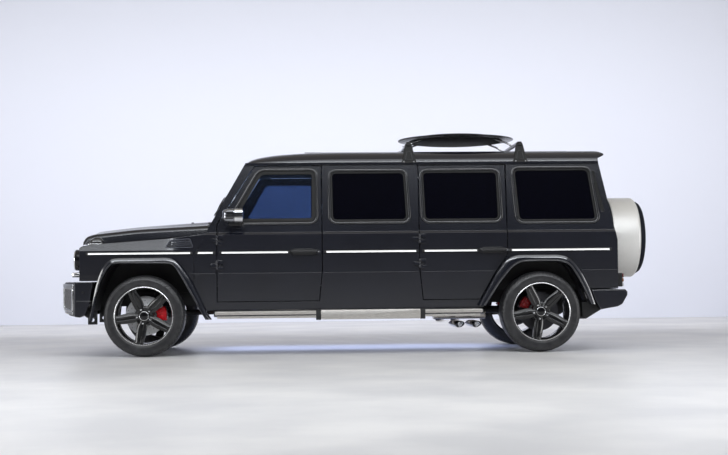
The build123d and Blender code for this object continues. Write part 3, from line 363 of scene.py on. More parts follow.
# the record's slot that each finish usually takes
usualSlots = {"body_paint": (paint, flarePaint, framePaint, louvreHighlightPaint, coverFace),
    "aerial_black": (aerialPaint,), "gloss_black": (glossBlack, greyPlastic, smokeLens, meshWire),
    "wheel_black": (wheelPaint,), "frame_black": (chassisPaint, axlePaint, shadedCaliperRed),
    "cast_metal": (castIron, litDiscSteel, shadedDiscSteel, redPaint), "black_plastic": (grainPlastic, smoothPlastic,
    seal), "cabin_lining": (dashPlastic, carpet, headlining), "bright_chrome": (chrome, stripChrome,
    shadedChrome, satinChrome), "polished_steel": (lipMetal, exhaustSteel),
    "stainless": (stainless, coverSteel), "bar_aluminium": (barAlloy,), "lamp_glass": (bowlFinish, lampGlass,
    whiteLens), "tail_lamp_red": (redLens, amberLens), "black_leather": (leather, stitch),
    "tyre_rubber": (rubber,)}
for slotName, finishes in usualSlots.items():
    for finish in finishes:
        finish.slot = slotName
print("finishes made,", len(bpy.data.materials), "materials")


def mm(values):
    # millimetres as metres, rounded to the last digit that is written
    return np.round(np.array(values) / 1000, 7)


def fullTurn(count):
    # angles spaced evenly round a circle
    return np.linspace(0, 2 * pi, count, endpoint=False)


def gridFaces(rows, cols, rowsClosed=False, colsClosed=False):
    # quads between neighbouring points of a grid, wrapping round where a direction is closed
    row = np.arange(rows if rowsClosed else rows - 1)[:, None]
    col = np.arange(cols if colsClosed else cols - 1)[None, :]
    nextRow, nextCol = (row + 1) % rows, (col + 1) % cols
    quads = np.stack([row * cols + col, row * cols + nextCol, nextRow * cols + nextCol, nextRow * cols + col],
        -1)
    return quads.reshape(-1, 4).tolist()


def shellFaces(rows, cols):
    # quads between rings of points, and one face across each end
    ends = [list(range(cols))[::-1], list(range(rows * cols - cols, rows * cols))]
    return gridFaces(rows, cols, False, True) + ends


def makeMesh(name, points, faces, finish):
    # one object from points in metres and rows of point numbers
    mesh = bpy.data.meshes.new(name)
    mesh.from_pydata(np.asarray(points, float).tolist(), [], faces)
    mesh.materials.append(finish.material)
    mesh.shade_smooth()
    item = bpy.data.objects.new(name, mesh)
    bpy.context.scene.collection.objects.link(item)
    return item


def merged(*shapes):
    # several (points, faces) shapes as one
    points, faces, start = [], [], 0
    for shapePoints, shapeFaces in shapes:
        points.append(np.asarray(shapePoints, float).reshape(-1, 3))
        faces += [[index + start for index in face] for face in shapeFaces]
        start += len(points[-1])
    return np.concatenate(points), faces


def mirrored(shape):
    # the same shape on the other side, with its faces turned back
    points, faces = shape
    return np.asarray(points) * (1, -1, 1), [face[::-1] for face in faces]


def bothSides(shape):
    return merged(shape, mirrored(shape))


def turned(shape, axis, degrees, centre=(0, 0, 0)):
    # a shape turned about an axis through a centre
    points, faces = shape
    turn = np.array(Matrix.Rotation(radians(degrees), 3, Vector(axis)))
    return (np.asarray(points) - centre) @ turn.T + centre, faces


def moved(shape, step):
    return np.asarray(shape[0]) + np.asarray(step), shape[1]


def ringOf(shape, count, axis, start=0):
    # copies of a shape spaced evenly about an axis
    return merged(*[turned(shape, axis, start + 360 * index / count) for index in range(count)])


def unit(vectors):
    # each vector divided by its length
    return vectors / np.linalg.norm(vectors, axis=-1, keepdims=True)


def frameAlong(path):
    # unit tangents of a path, and two unit normals carried along it with the least turning
    path = np.asarray(path, float)
    tangent = unit(np.gradient(path, axis=0))
    first = np.cross(tangent[0], (0, 0, 1) if abs(tangent[0][2]) < 0.9 else (1, 0, 0))
    normals = [unit(first)]
    for step in tangent[1:]:
        normals.append(unit(normals[-1] - step * np.dot(normals[-1], step)))
    normals = np.array(normals)
    return tangent, normals, np.cross(tangent, normals)


def tube(path, radius, sides=14):
    # circle of a radius, or one radius for each point, carried along a path
    path = np.asarray(path, float)
    tangent, first, second = frameAlong(path)
    angle = fullTurn(sides)
    reach = np.broadcast_to(np.asarray(radius, float), (len(path),))[:, None, None]
    ring = first[:, None] * np.cos(angle)[None, :, None] + second[:, None] * np.sin(angle)[None, :, None]
    points = (path[:, None] + reach * ring).reshape(-1, 3)
    return points, shellFaces(len(path), sides)


def smoothPath(points, steps=8):
    # a curve through the points: each span is a cubic with tangents from its neighbours
    points = np.asarray(points, float)
    padded = np.vstack([2 * points[0] - points[1], points, 2 * points[-1] - points[-2]])
    t = np.linspace(0, 1, steps, endpoint=False)[:, None]
    spans = []
    for before, start, end, after in zip(padded, padded[1:], padded[2:], padded[3:]):
        spans.append(0.5 * (2 * start + (end - before) * t + (2 * before - 5 * start + 4 * end - after) * t **
            2 + (3 * start - before - 3 * end + after) * t ** 3))
    return np.vstack(spans + [points[-1:]])


def lathe(profile, centre, axis="Y", steps=64, closed=False):
    # profile of (distance along the axis, radius) in metres, turned about an axis through the centre
    profile = np.asarray(profile, float)
    angle = fullTurn(steps)
    along = np.repeat(profile[:, 0], steps)
    across = (profile[:, 1][:, None] * np.cos(angle)).ravel()
    upward = (profile[:, 1][:, None] * np.sin(angle)).ravel()
    order = {"X": (along, across, upward), "Y": (upward, along, across), "Z": (across, upward, along)}
    points = np.stack(order[axis], 1) + np.asarray(centre)
    return points, gridFaces(len(profile), steps, closed, True)


def solid(profile, centre, axis="Y", steps=64):
    # a profile in millimetres turned about an axis, with a flat face at each end
    return lathe(mm([(profile[0][0], 0), *profile, (profile[-1][0], 0)]), centre, axis, steps)


def roundedRectangle(width, height, radius, steps=6):
    # outline about the origin, each corner an arc, anticlockwise
    arc = np.linspace(0, pi / 2, steps)
    corners = []
    for quarter, (signX, signY) in enumerate(((1, 1), (-1, 1), (-1, -1), (1, -1))):
        angle = arc + quarter * pi / 2
        middle = (signX * (width / 2 - radius), signY * (height / 2 - radius))
        corners.append(np.stack([middle[0] + radius * np.cos(angle), middle[1] + radius * np.sin(angle)], 1))
    return np.concatenate(corners)


def cutCorner(before, corner, after, reach, t):
    # quadratic curve from a reach before a corner to the same reach after it
    start = corner + (before - corner) * min(cornerLimit, reach / np.linalg.norm(before - corner))
    end = corner + (after - corner) * min(cornerLimit, reach / np.linalg.norm(after - corner))
    return (1 - t) ** 2 * start + 2 * t * (1 - t) * corner + t ** 2 * end


def roundOutline(points, radius, steps=6):
    # a closed outline with its corners cut
    points = np.asarray(points, float)
    t = np.linspace(0, 1, steps)[:, None]
    radii = np.broadcast_to(radius, (len(points),))
    around = zip(np.roll(points, 1, 0), points, np.roll(points, -1, 0), radii)
    return np.concatenate([cutCorner(*corner, t) for corner in around])


def softLine(points, radius, steps=5):
    # an open line with its inner corners cut
    points = np.asarray(points, float)
    t = np.linspace(0, 1, steps)[:, None]
    radii = np.broadcast_to(radius, (len(points),))
    inner = zip(points, points[1:], points[2:], radii[1:])
    return np.concatenate([points[:1]] + [cutCorner(*corner, t) for corner in inner] + [points[-1:]])


def rectangle(u0, v0, u1, v1, radius, steps=6):
    # a rectangle between two corners, with its own corners cut
    return roundOutline([(u0, v0), (u1, v0), (u1, v1), (u0, v1)], radius, steps)


def inwardNormals(outline):
    # unit vectors that point inward at each point of a closed outline
    ahead = np.roll(outline, -1, 0) - outline
    behind = outline - np.roll(outline, 1, 0)
    step = ahead / (np.linalg.norm(ahead, axis=1)[:, None] + 1e-12)
    step += behind / (np.linalg.norm(behind, axis=1)[:, None] + 1e-12)
    normal = np.stack([-step[:, 1], step[:, 0]], 1)
    normal /= np.linalg.norm(normal, axis=1)[:, None] + 1e-12
    area = np.sum(outline[:, 0] * np.roll(outline[:, 1], -1) - outline[:, 1] * np.roll(outline[:, 0], -1))
    return normal if area > 0 else -normal


def slab(outline, low, high, lift, round=0.003, steps=3):
    # a flat piece with rounded edges: lift turns (u, v, depth) columns into places in space
    outline = np.asarray(outline, float)
    inward = inwardNormals(outline)
    arc = np.linspace(0, pi / 2, steps + 1)
    insets = np.concatenate([round * (1 - np.sin(arc)), round * (1 - np.sin(arc[::-1]))])
    depths = np.concatenate([low + round * (1 - np.cos(arc)), high - round * (1 - np.cos(arc[::-1]))])
    rings = outline[None] + inward[None] * insets[:, None, None]
    depth = np.broadcast_to(depths[:, None], rings.shape[:2])
    points = lift(rings[..., 0].ravel(), rings[..., 1].ravel(), depth.ravel())
    count = len(outline)
    return points, shellFaces(len(insets), count)


def liftXZ(u, v, depth):
    return np.stack([u, depth, v], 1)


def liftYZ(u, v, depth):
    return np.stack([depth, u, v], 1)


def liftXY(u, v, depth):
    return np.stack([u, v, depth], 1)


def roundBox(low, high, radius, steps=4):
    # a box whose edges and corners are rounded: a rounded rectangle whose inset follows a quarter circle
    low, high = np.asarray(low, float), np.asarray(high, float)
    size, middle = high - low, (high + low) / 2
    radius = min(radius, cornerLimit * min(size))
    arc = np.linspace(0, pi / 2, steps)
    inset = np.concatenate([radius * (1 - np.sin(arc)), radius * (1 - np.sin(arc[::-1]))])
    level = np.concatenate([low[2] + radius * (1 - np.cos(arc)), high[2] - radius * (1 - np.cos(arc[::-1]))])
    rings = [roundedRectangle(size[0] - 2 * cut, size[1] - 2 * cut, radius - cut + 1e-5,
        steps) for cut in inset]
    count = len(rings[0])
    flat = np.concatenate(rings) + middle[:2]
    points = np.column_stack([flat, np.repeat(level, count)])
    return points, shellFaces(len(rings), count)


def orient(item):
    # weld doubles and turn the faces of closed shells outward
    work = bmesh.new()
    work.from_mesh(item.data)
    bmesh.ops.remove_doubles(work, verts=work.verts, dist=weldGap["drawn"])
    bmesh.ops.recalc_face_normals(work, faces=work.faces)
    work.to_mesh(item.data)
    work.free()
    return item


def piece(name, shape, finish, stands=(), angle=35, body="body"):
    # a closed new piece, outward and riding on a body; edges sharper than the angle stay sharp.
    # stands names the CAD nodes it stands for, which are hidden
    item = orient(makeMesh(name, *shape, finish))
    item.data.set_sharp_from_angle(angle=radians(angle))
    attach(item, body)
    if stands:
        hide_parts(*stands)
    return item


def pair(name, shape, finish, stands=(), angle=35):
    # a shape and its mirror image as one piece of the body
    piece(name, bothSides(shape), finish, stands, angle)


def softened(node, finish, width, segments=3, angle=30, cuts=(), reshape=None):
    # a CAD node with its edges rounded: welded copy, flat areas made whole, then a bevel whose
    # normals follow the large faces; shallow folds between two broad faces stay crisp.
    # It can be cut along planes first, and its points moved by a function of their places
    item = bpy.data.objects.new(node + "_skin", nodes[node].data.copy())
    bpy.context.scene.collection.objects.link(item)
    work = bmesh.new()
    work.from_mesh(item.data)
    bmesh.ops.remove_doubles(work, verts=work.verts, dist=weldGap["cad"])
    bmesh.ops.dissolve_limit(work, angle_limit=radians(0.4), verts=work.verts, edges=work.edges)
    for spot, normal in cuts:
        bmesh.ops.bisect_plane(work, geom=work.verts[:] + work.edges[:] + work.faces[:], plane_co=spot,
            plane_no=normal)
    if reshape:
        work.to_mesh(item.data)
        places = np.empty(len(item.data.vertices) * 3)
        item.data.vertices.foreach_get("co", places)
        item.data.vertices.foreach_set("co", reshape(places.reshape(-1, 3)).ravel())
        work.clear()
        work.from_mesh(item.data)
    broad = 0.03
    for edge in work.edges:
        if len(edge.link_faces) == 2:
            turn = degrees(edge.calc_face_angle(0))
            narrow = min(face.calc_area() for face in edge.link_faces) / max(edge.calc_length(), 1e-6)
            edge.smooth = not (0.4 < turn < angle and narrow > broad)
    work.to_mesh(item.data)
    work.free()
    item.data.materials.clear()
    item.data.materials.append(finish.material)
    bevel = item.modifiers.new("edges", "BEVEL")
    bevel.width = width
    bevel.segments = segments
    bevel.limit_method = "ANGLE"
    bevel.angle_limit = radians(angle)
    bevel.miter_outer = "MITER_ARC"
    weighted = item.modifiers.new("normals", "WEIGHTED_NORMAL")
    weighted.keep_sharp = True
    weighted.weight = 100
    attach(item, bodyOf[node])
    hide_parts(node)
    return item


def dress(node, finish):
    # a CAD node that keeps its shape gets its finish
    nodes[node].data.materials.clear()
    nodes[node].data.materials.append(finish.material)


def loop(rings):
    # closed rings of equal length joined one after another, with both ends closed
    rings = np.asarray(rings, float)
    rows, cols = rings.shape[:2]
    return rings.reshape(-1, 3), shellFaces(rows, cols)


def atX(x, outline):
    # an outline of (y, z) set up across the vehicle at one x
    return np.column_stack([np.full(len(outline), x), outline])


def strip(points, height, depth, lift, count=3):
    # a raised bar of rounded section that follows a flat path in (u, v) on a surface
    points = np.asarray(points, float)
    tangent = unit(np.gradient(points, axis=0))
    across = np.stack([-tangent[:, 1], tangent[:, 0]], 1)
    angle = np.linspace(0, pi, 2 * count + 1)
    place = np.concatenate([np.cos(angle), [-1, 1]]) * height / 2
    level = np.concatenate([depth * np.sin(angle) ** 0.6, [-0.003, -0.003]])
    flat = points[:, None] + across[:, None] * place[None, :, None]
    rings = lift(flat[..., 0].ravel(), flat[..., 1].ravel(), np.tile(level, len(points)))
    return loop(rings.reshape(len(points), len(place), 3))


# Painted panels: each CAD panel with its edges rounded and its folds kept
panelEdges = {"body_side_left": 0.005, "body_side_right": 0.005, "front_door_left": 0.0045,
    "front_door_right": 0.0045, "rear_door_left": 0.0045, "rear_door_right": 0.0045, "front_panel": 0.004,
    "front_bumper": 0.009, "rear_bumper": 0.008, "cargo_door": 0.006}
for panel, width in panelEdges.items():
    softened(panel, paint, width)

# the wings lean inward above the trim strip; the lean fades out towards the screen
wingLean = {"level": 1.004, "slope": 0.34, "fadeFrom": 1.612, "fadeTo": 1.912, "steps": 12}


def leaned(places):
    # y moves inward by slope * height above the level * share of the fade, a smooth step
    s = wingLean
    share = np.clip((places[:, 0] - s["fadeFrom"]) / (s["fadeTo"] - s["fadeFrom"]), 0, 1)
    share = share * share * (3 - 2 * share)
    step = s["slope"] * np.clip(places[:, 2] - s["level"], 0, None) * share
    outer = np.clip((np.abs(places[:, 1]) - 0.76) / 0.05, 0, 1)
    return places - np.column_stack([0 * step, np.sign(places[:, 1]) * step * outer, 0 * step])


wingCuts = [((x, 0, 0), (1, 0, 0)) for x in np.linspace(wingLean["fadeFrom"], wingLean["fadeTo"],
    wingLean["steps"])]
softened("front_wings", paint, 0.012, cuts=[((0, 0, wingLean["level"]), (0, 0, 1)), *wingCuts],
    reshape=leaned)

plainNodes = {"front_door_glass_left": frontGlass, "front_door_glass_right": frontGlass,
    "rear_door_glass_left": darkGlass, "rear_door_glass_right": darkGlass, "fixed_side_glass": darkGlass,
    "cargo_door_glass": darkGlass, "windscreen": screenGlass, "body_tub": carpet,
    "wheel_housings": grainPlastic, "engine_block": castIron, "fuel_tank": grainPlastic,
    "frame_rails": chassisPaint, "frame_crossmembers": chassisPaint}
for node, finish in plainNodes.items():
    dress(node, finish)
print("panels softened")


# Wheels. Each shape is made about its own centre with +Y outward, then set in place
tyreSize = {"steps": 480, "pitches": 60, "groove": 0.0075, "slot": 0.006, "sipe": 0.0035}
spokeSize = {"count": 5, "lift": 0.024, "hubFace": 0.098, "depth": 0.036}
boltCircle = {"radius": 0.068, "size": 0.0115}
wheelTurn = -10
wheelPlaces = [(place, side) for place in ("front", "rear") for side in sides]


def wheelCentre(place, side):
    low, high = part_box("tyre_" + place + "_" + side)
    return np.array((low + high) / 2)


def atWheel(shape, place, side):
    # outward is +Y on the left and -Y on the right
    points, faces = shape
    return np.asarray(points) * (1, sides[side], 1) + wheelCentre(place, side), faces


def tyreShape(settings):
    # a closed section turned about the axle; the tread falls by a groove depth at four bands,
    # and by a slot depth where a slanted saw wave along the turn is low
    wall = [(0.118, 0.2705), (0.1275, 0.2745), (0.1325, 0.279), (0.1362, 0.2832), (0.139, 0.2875),
        (0.14, 0.2905), (0.143, 0.293), (0.1462, 0.306), (0.1473, 0.32), (0.147, 0.333), (0.1475, 0.3385),
        (0.1458, 0.3425), (0.1436, 0.352), (0.1398, 0.36), (0.1338, 0.3672)]
    across = [0.125, 0.115, 0.105, 0.0965, 0.0895, 0.0885, 0.0805, 0.0795, 0.065, 0.048, 0.0335, 0.0325,
        0.0245, 0.0235, 0.012]
    crown = [(y, 0.3845 - 0.62 * y ** 2 - 9000 * max(0, y - 0.085) ** 4) for y in across]
    half = wall + crown
    profile = np.array(half + [(0, 0.3845)] + [(-y, r) for y, r in half[::-1]])
    angle = fullTurn(settings["steps"])[None, :]
    y, radius = profile[:, :1], profile[:, 1:]
    tread = radius > 0.3655
    bands = np.minimum(abs(abs(y) - 0.0845), abs(abs(y) - 0.0285))
    groove = tread * (bands < 0.0043) * settings["groove"]
    saw = (angle * settings["pitches"] / (2 * pi) + 14 * abs(y) + 0.5 * (y > 0)) % 1
    shoulder = (abs(y) > 0.0895) & (abs(y) < 0.142) & (radius > 0.35)
    slot = shoulder * (saw < 0.24) * settings["slot"]
    saw2 = (angle * settings["pitches"] / (2 * pi) - 22 * abs(y)) % 1
    sipe = tread * (abs(y) < 0.08) * (saw2 < 0.12) * settings["sipe"]
    reach = radius - np.maximum(np.maximum(groove, slot), sipe)
    points = np.stack([reach * np.cos(angle), np.broadcast_to(y, reach.shape), reach * np.sin(angle)], -1)
    faces = gridFaces(len(profile), settings["steps"], True, True)
    return points.reshape(-1, 3), faces


def spokeShape(settings):
    # a section with two ridges and a channel, carried outward along the radius; its width follows
    # a curve through the stations and its face rises towards the rim along a smooth step
    radius = np.linspace(0.05, 0.2625, 28)
    width = np.interp(radius, [0.05, 0.072, 0.095, 0.125, 0.165, 0.21, 0.242, 0.255, 0.2625],
        [0.066, 0.082, 0.093, 0.0985, 0.0965, 0.089, 0.0825, 0.086, 0.1]) / 2
    share = np.clip((radius - 0.07) / 0.18, 0, 1)
    face = settings["hubFace"] + settings["lift"] * share * share * (3 - 2 * share)
    place = np.array([-1, -0.985, -0.93, -0.6, -0.36, -0.33, -0.26, -0.22, 0, 0.22, 0.26, 0.33, 0.36, 0.6,
        0.93, 0.985, 1, 1, 0.92, -0.92, -1])
    drop = mm([-18, -13.5, -11, -4.5, 0, 0, -1.5, -5, -5.6, -5, -1.5, 0, 0, -4.5, -11, -13.5, -18, -30, -36,
        -36, -30])
    across = width[:, None] * place[None]
    points = np.stack([across, face[:, None] + drop[None], np.broadcast_to(radius[:, None], across.shape)],
        -1)
    count = len(place)
    return points.reshape(-1, 3), shellFaces(len(radius), count)


def hexHead(radius, low, high):
    # six sided bolt head with a domed end, about +Y
    outline = roundOutline([(radius * cos(a), radius * sin(a)) for a in np.arange(6) * pi / 3], radius * 0.12,
        3)
    return slab(outline, low, high, liftXZ, radius * 0.22)


def sectorOutline(inner, outer, first, last, steps=14):
    # outline between two arcs about the origin, in degrees
    angle = np.radians(np.linspace(first, last, steps))
    ring = np.stack([np.cos(angle), np.sin(angle)], 1)
    return np.concatenate([ring * outer, ring[::-1] * inner])


def wheelShapes():
    # everything on one wheel, by finish
    spokes = ringOf(spokeShape(spokeSize), spokeSize["count"], (0, 1, 0), 180)
    barrel = lathe(mm([(129, 267.2), (118, 263.8), (100, 261), (20, 258), (-80, 257), (-118, 261),
        (-131, 269), (-134, 275), (-132, 280), (-115, 275), (110, 275), (128.5, 277.6)]), (0, 0, 0), "Y", 144,
        True)
    hub = solid([(40, 90), (86, 90), (90.5, 88), (93.5, 80), (89, 58), (90, 50), (98, 47), (99, 30)],
        (0, 0, 0), "Y", 96)
    seats = ringOf(lathe(mm([(90.5, 18), (96, 18), (97.5, 16.5), (97.5, 15), (92, 14), (90.5, 14)]),
        (boltCircle["radius"], 0, 0), "Y", 28, True), 5, (0, 1, 0), 90)
    lip = lathe(mm([(130, 266.5), (133, 267.6), (135.2, 270), (135.6, 273.5), (134.4, 276.5), (131.8, 278.1),
        (127, 278.1), (127, 266.5)]), (0, 0, 0), "Y", 180, True)
    bolt = moved(hexHead(boltCircle["size"], 0.088, 0.1045), (boltCircle["radius"], 0, 0))
    capRing = lathe(mm([(98.5, 39.5), (103, 40), (104.2, 41.5), (103, 43.5), (98.5, 44)]), (0, 0, 0), "Y", 72,
        True)
    cap = lathe(mm([(98.5, 0), (98.5, 39.5), (102, 39), (102.6, 34), (101.2, 31), (103, 18), (103.6, 0)]),
        (0, 0, 0), "Y", 72)
    disc = lathe(mm([(-50, 70), (-50, 186), (-49, 187), (-40, 187), (-39.5, 179), (-30.5, 179), (-30, 187),
        (-21, 187), (-20, 186), (-20, 108), (-21.5, 105.5), (-6, 100), (-3, 96), (-3, 70)]), (0, 0, 0), "Y",
        120, True)
    rows = np.concatenate([[(0.122, 30 * i) for i in range(12)], [(0.146, 30 * i + 12) for i in range(12)],
        [(0.168, 30 * i + 22) for i in range(12)]])
    # the drilled holes are drawn as black dots on the disc face, where a hole would show only shade: painted
    # shade
    hole = lathe(mm([(-20.2, 3.6), (-19.6, 3.2), (-19.6, 0)]), (0, 0, 0), "Y", 10)
    holes = merged(*[turned(moved(hole, (radius, 0, 0)), (0, 1, 0), turn) for radius, turn in rows])
    stem = tube([(0, 0.112, 0.26), (0, 0.121, 0.255), (0, 0.138, 0.248)], [0.0052, 0.0046, 0.0042], 12)
    carrier = solid([(-3, 96), (5, 96), (8, 86), (40, 86)], (0, 0, 0), "Y", 60)
    return {"tyre": (tyreShape(tyreSize), rubber), "spokes": (merged(spokes, hub), wheelPaint),
        "barrel": (barrel, wheelPaint), "lip": (lip, lipMetal), "cap_ring": (capRing, chrome),
        "cap": (cap, glossBlack), "bolt_seats": (seats, wheelPaint), "bolts": (ringOf(bolt, 5, (0, 1, 0), 90),
        chrome), "disc": (disc, litDiscSteel), "disc_holes_painted_shade": (holes, chassisPaint),
        "hub_face": (carrier, castIron), "valve": (turned(stem, (0, 1, 0), 126), rubber)}


wheelStands = {"tyre": "tyre_", "spokes": "rim_"}
for place, side in wheelPlaces:
    corner = place + "_" + side
    for name, (shape, finish) in wheelShapes().items():
        stands = [wheelStands[name] + corner] if name in wheelStands else []
        # the rear discs take the dark copy of the disc steel: painted shade
        finish = shadedDiscSteel if name == "disc" and place == "rear" else finish
        piece(name + "_" + corner + "_look", atWheel(turned(shape, (0, 1, 0), wheelTurn), place, side),
            finish, stands, 28, "wheel_" + corner)


# Brakes, knuckles and axles
caliperSize = {"front": {"inner": 0.11, "outer": 0.206, "first": 153, "last": 194},
    "rear": {"inner": 0.112, "outer": 0.2, "first": 12, "last": 48}}


def caliperShape(size):
    # two cheeks beside the disc, joined outside it by a bridge with ribs
    cheek = roundOutline(sectorOutline(size["inner"], size["outer"], size["first"], size["last"], 9), 0.006,
        3)
    bridge = roundOutline(sectorOutline(0.19, size["outer"], size["first"] + 3, size["last"] - 3, 9), 0.003,
        2)
    middle, reach = (size["first"] + size["last"]) / 2, (size["last"] - size["first"]) / 4
    parts = [slab(cheek, -0.081, -0.0545, liftXZ, 0.006, 4), slab(cheek, -0.015, 0.013, liftXZ, 0.008, 4),
        slab(bridge, -0.065, -0.005, liftXZ, 0.003, 2)]
    boss = solid([(10, 21), (16, 20), (18.5, 16)], (0, 0, 0), "Y", 32)
    for turn in (middle - reach, middle + reach):
        angle = radians(turn)
        parts.append(moved(boss, (0.15 * cos(angle), 0, 0.15 * sin(angle))))
    return merged(*parts, slab(sectorOutline(0.12, 0.2, middle - 1.6, middle + 1.6, 4), 0.01, 0.017, liftXZ,
        0.002, 2))


def knuckleShape():
    # post with flanged ends, pins, spindle and a tapered steering arm, left side
    away = -0.11
    joint = solid([(-26, 14), (-8, 20), (20, 20), (26, 12)], (-0.188, -0.088, 0), "Z", 28)
    bracket = slab(roundOutline(mm([(-12, -50), (-130, -62), (-150, 90), (-15, 50)]), 0.014, 4), -0.078,
        -0.06, liftXZ, 0.004)
    return merged(solid([(-112, 13.9), (-91, 13.9), (-91, 30), (-78, 33), (-62, 28.5), (62, 28.5), (78, 33),
        (91, 30), (91, 13.9), (112, 13.9)], (0, away, 0), "Z", 40), solid([(-110, 48), (-70, 44), (-52, 34.9),
        (30, 34.9)], (0, 0, 0), "Y", 40), slab(roundOutline(mm([(-205, -16), (-205, 16), (-40, 30), (0, 34),
        (0, -34), (-40, -30)]), 0.012, 4), -0.098, -0.078, liftXZ, 0.004), joint, bracket)


for side in sides:
    body = "knuckle_" + side
    piece(body + "_look", atWheel(knuckleShape(), "front", side), castIron, [body], body=body)
    piece("caliper_front_" + side, atWheel(caliperShape(caliperSize["front"]), "front", side), redPaint,
        body=body)
    # rear calipers use the darker copy of the red: painted shade
    piece("caliper_rear_" + side, atWheel(caliperShape(caliperSize["rear"]), "rear", side), shadedCaliperRed)


def axleShape(place):
    # beam tube with a differential housing turned about the axle line, spring and damper pads
    centre = (wheelCentre(place, "left") + wheelCentre(place, "right")) / 2
    end = 0.598 if place == "front" else 0.655
    cover = lathe([(-end, 0), (-end, 0.048), (-0.11, 0.048), (-0.06, 0.062), (-0.028, 0.102), (0.01, 0.118),
        (0.056, 0.1195), (0.066, 0.124), (0.086, 0.124), (0.096, 0.115), (0.14, 0.095), (0.176, 0.06),
        (0.23, 0.048), (end, 0.048), (end, 0)], centre)
    cover[0][:, 2] = np.minimum(cover[0][:, 2], centre[2] + 0.0795)
    bolts = []
    for turn in range(20, 340, 32):
        angle = radians(turn + 90)
        spot = centre + (0.112 * cos(angle), 0.09, 0.112 * sin(angle))
        if spot[2] < centre[2] + 0.06:
            bolts.append(moved(hexHead(0.0085, 0, 0.009), spot))
    pads = []
    for side in sides.values():
        for x, y, length, width in ((0, 0.49, 0.058, 0.054), (-0.097, 0.458, 0.041, 0.032)):
            low = np.array((centre[0] + x - length, side * y - width, 0.4225))
            pads.append(roundBox(low, low + (2 * length, 2 * width, 0.016), 0.004))
        if place == "front":
            pads.append(roundBox((centre[0] - 0.036, side * 0.598 - (0.01 if side < 0 else 0), 0.2725),
                (centre[0] + 0.036, side * 0.598 + (0.02 if side > 0 else 0.01), 0.4965), 0.005))
            for z in (0.2725, 0.4765):
                pads.append(roundBox((centre[0] - 0.03, min(side * 0.6, side * 0.685), z),
                    (centre[0] + 0.03, max(side * 0.6, side * 0.685), z + 0.02), 0.008))
        else:
            pads.append(lathe([(side * 0.64, 0), (side * 0.64, 0.062), (side * 0.668, 0.062),
                (side * 0.672, 0.0349), (side * 0.795, 0.0349), (side * 0.795, 0)], centre, "Y", 40))
    return merged(cover, *bolts, *pads)


for place in ("front", "rear"):
    piece(place + "_axle_look", axleShape(place), axlePaint, [place + "_axle"])
print("wheels, brakes and axles made")


# Side trim. Everything here is drawn once on the left side and mirrored
sideProfile = {"height": [0.43, 0.777, 1.147, 1.166, 1.821], "reach": [0.826, 0.836, 0.842, 0.827, 0.757]}
sideWindows = {"front": ("front_door_left", [(1.273, 1.262), (0.985, 1.758), (0.447, 1.758), (0.449, 1.262)]),
    "middle": ("body", [(0.303, 1.262), (0.31, 1.748), (-0.415, 1.748), (-0.44, 1.262)]),
    "rear": ("rear_door_left", [(-0.585, 1.262), (-0.568, 1.748), (-1.313, 1.748), (-1.325, 1.262)]),
    "quarter": ("body", [(-1.495, 1.25), (-1.455, 1.765), (-2.201, 1.765), (-2.27, 1.25)])}
windowSurround = {"corner": 0.055, "width": 0.026, "proud": 0.0125, "lap": 0.002, "sealWidth": 0.02,
    "frontSeal": 0.036}
stripSettings = {"level": 0.976, "height": 0.03, "insert": 0.019, "proud": 0.013, "cap": 0.022}
sideStrips = {"wing": ("body", 2.622, 1.618), "hinge": ("body", 1.59, 1.404),
    "front_door": ("front_door", 1.366, 0.694), "middle": ("body", 0.372, -0.528),
    "rear_door": ("rear_door", -0.566, -1.112), "quarter": ("body", -1.404, -2.392)}


def skinY(z):
    return np.interp(z, sideProfile["height"], sideProfile["reach"])


def onSkin(u, v, depth):
    # u along the vehicle, v up, depth out from the skin
    return np.stack([u, skinY(v) + depth, v], 1)


def sidePiece(name, shape, finish, body, angle=35):
    # the same shape on both sides; door pieces ride on their own door
    if body == "body":
        pair(name, shape, finish, (), angle)
    else:
        for side, sign in sides.items():
            shapeHere = shape if sign > 0 else mirrored(shape)
            piece(name + "_" + side, shapeHere, finish, (), angle, body + "_" + side)


def frameBand(outline, width, lift, low, high, round=0.003, steps=3):
    # a band just outside an outline: its section is a rounded slab carried round the outline
    inward = inwardNormals(outline)
    arc = np.linspace(0, pi / 2, steps + 1)
    outerCut = round * (1 - np.cos(arc))
    depthUp = np.concatenate([[low], high - round * (1 - np.sin(arc))[1:]])
    rings, depths = [], []
    for cut, depth in zip(outerCut, depthUp):
        rings.append(outline - inward * (width - cut))
        depths.append(depth)
    for cut, depth in zip(outerCut[::-1], depthUp[::-1]):
        rings.append(outline - inward * cut)
        depths.append(depth)
    count = len(outline)
    flat = np.concatenate(rings)
    points = lift(flat[:, 0], flat[:, 1], np.repeat(depths, count))
    return points, gridFaces(len(rings), count, True, True)


for name, (body, corners) in sideWindows.items():
    outline = roundOutline(corners, windowSurround["corner"] * 1.15, 9)
    inner = outline + inwardNormals(outline) * windowSurround["lap"]
    bodyName = body.replace("_left", "")
    sidePiece("window_frame_" + name, frameBand(inner, windowSurround["width"] + windowSurround["lap"],
        onSkin, -0.012, windowSurround["proud"], 0.0115, 6), framePaint, bodyName, 70)
    wide = windowSurround["frontSeal"] if name == "front" else windowSurround["sealWidth"]
    gasket = outline + inwardNormals(outline) * (wide + 0.001)
    rim = frameBand(gasket, wide, onSkin, -0.013, -0.0035)
    sidePiece("window_seal_" + name, rim, seal, bodyName, 50)


def bar(x0, x1, low, high, depth0, depth1, round):
    # straight rounded bar on the skin
    outline = rectangle(x0, low, x1, high, round, 3)
    return slab(outline, depth0, depth1, onSkin, round * 0.8)


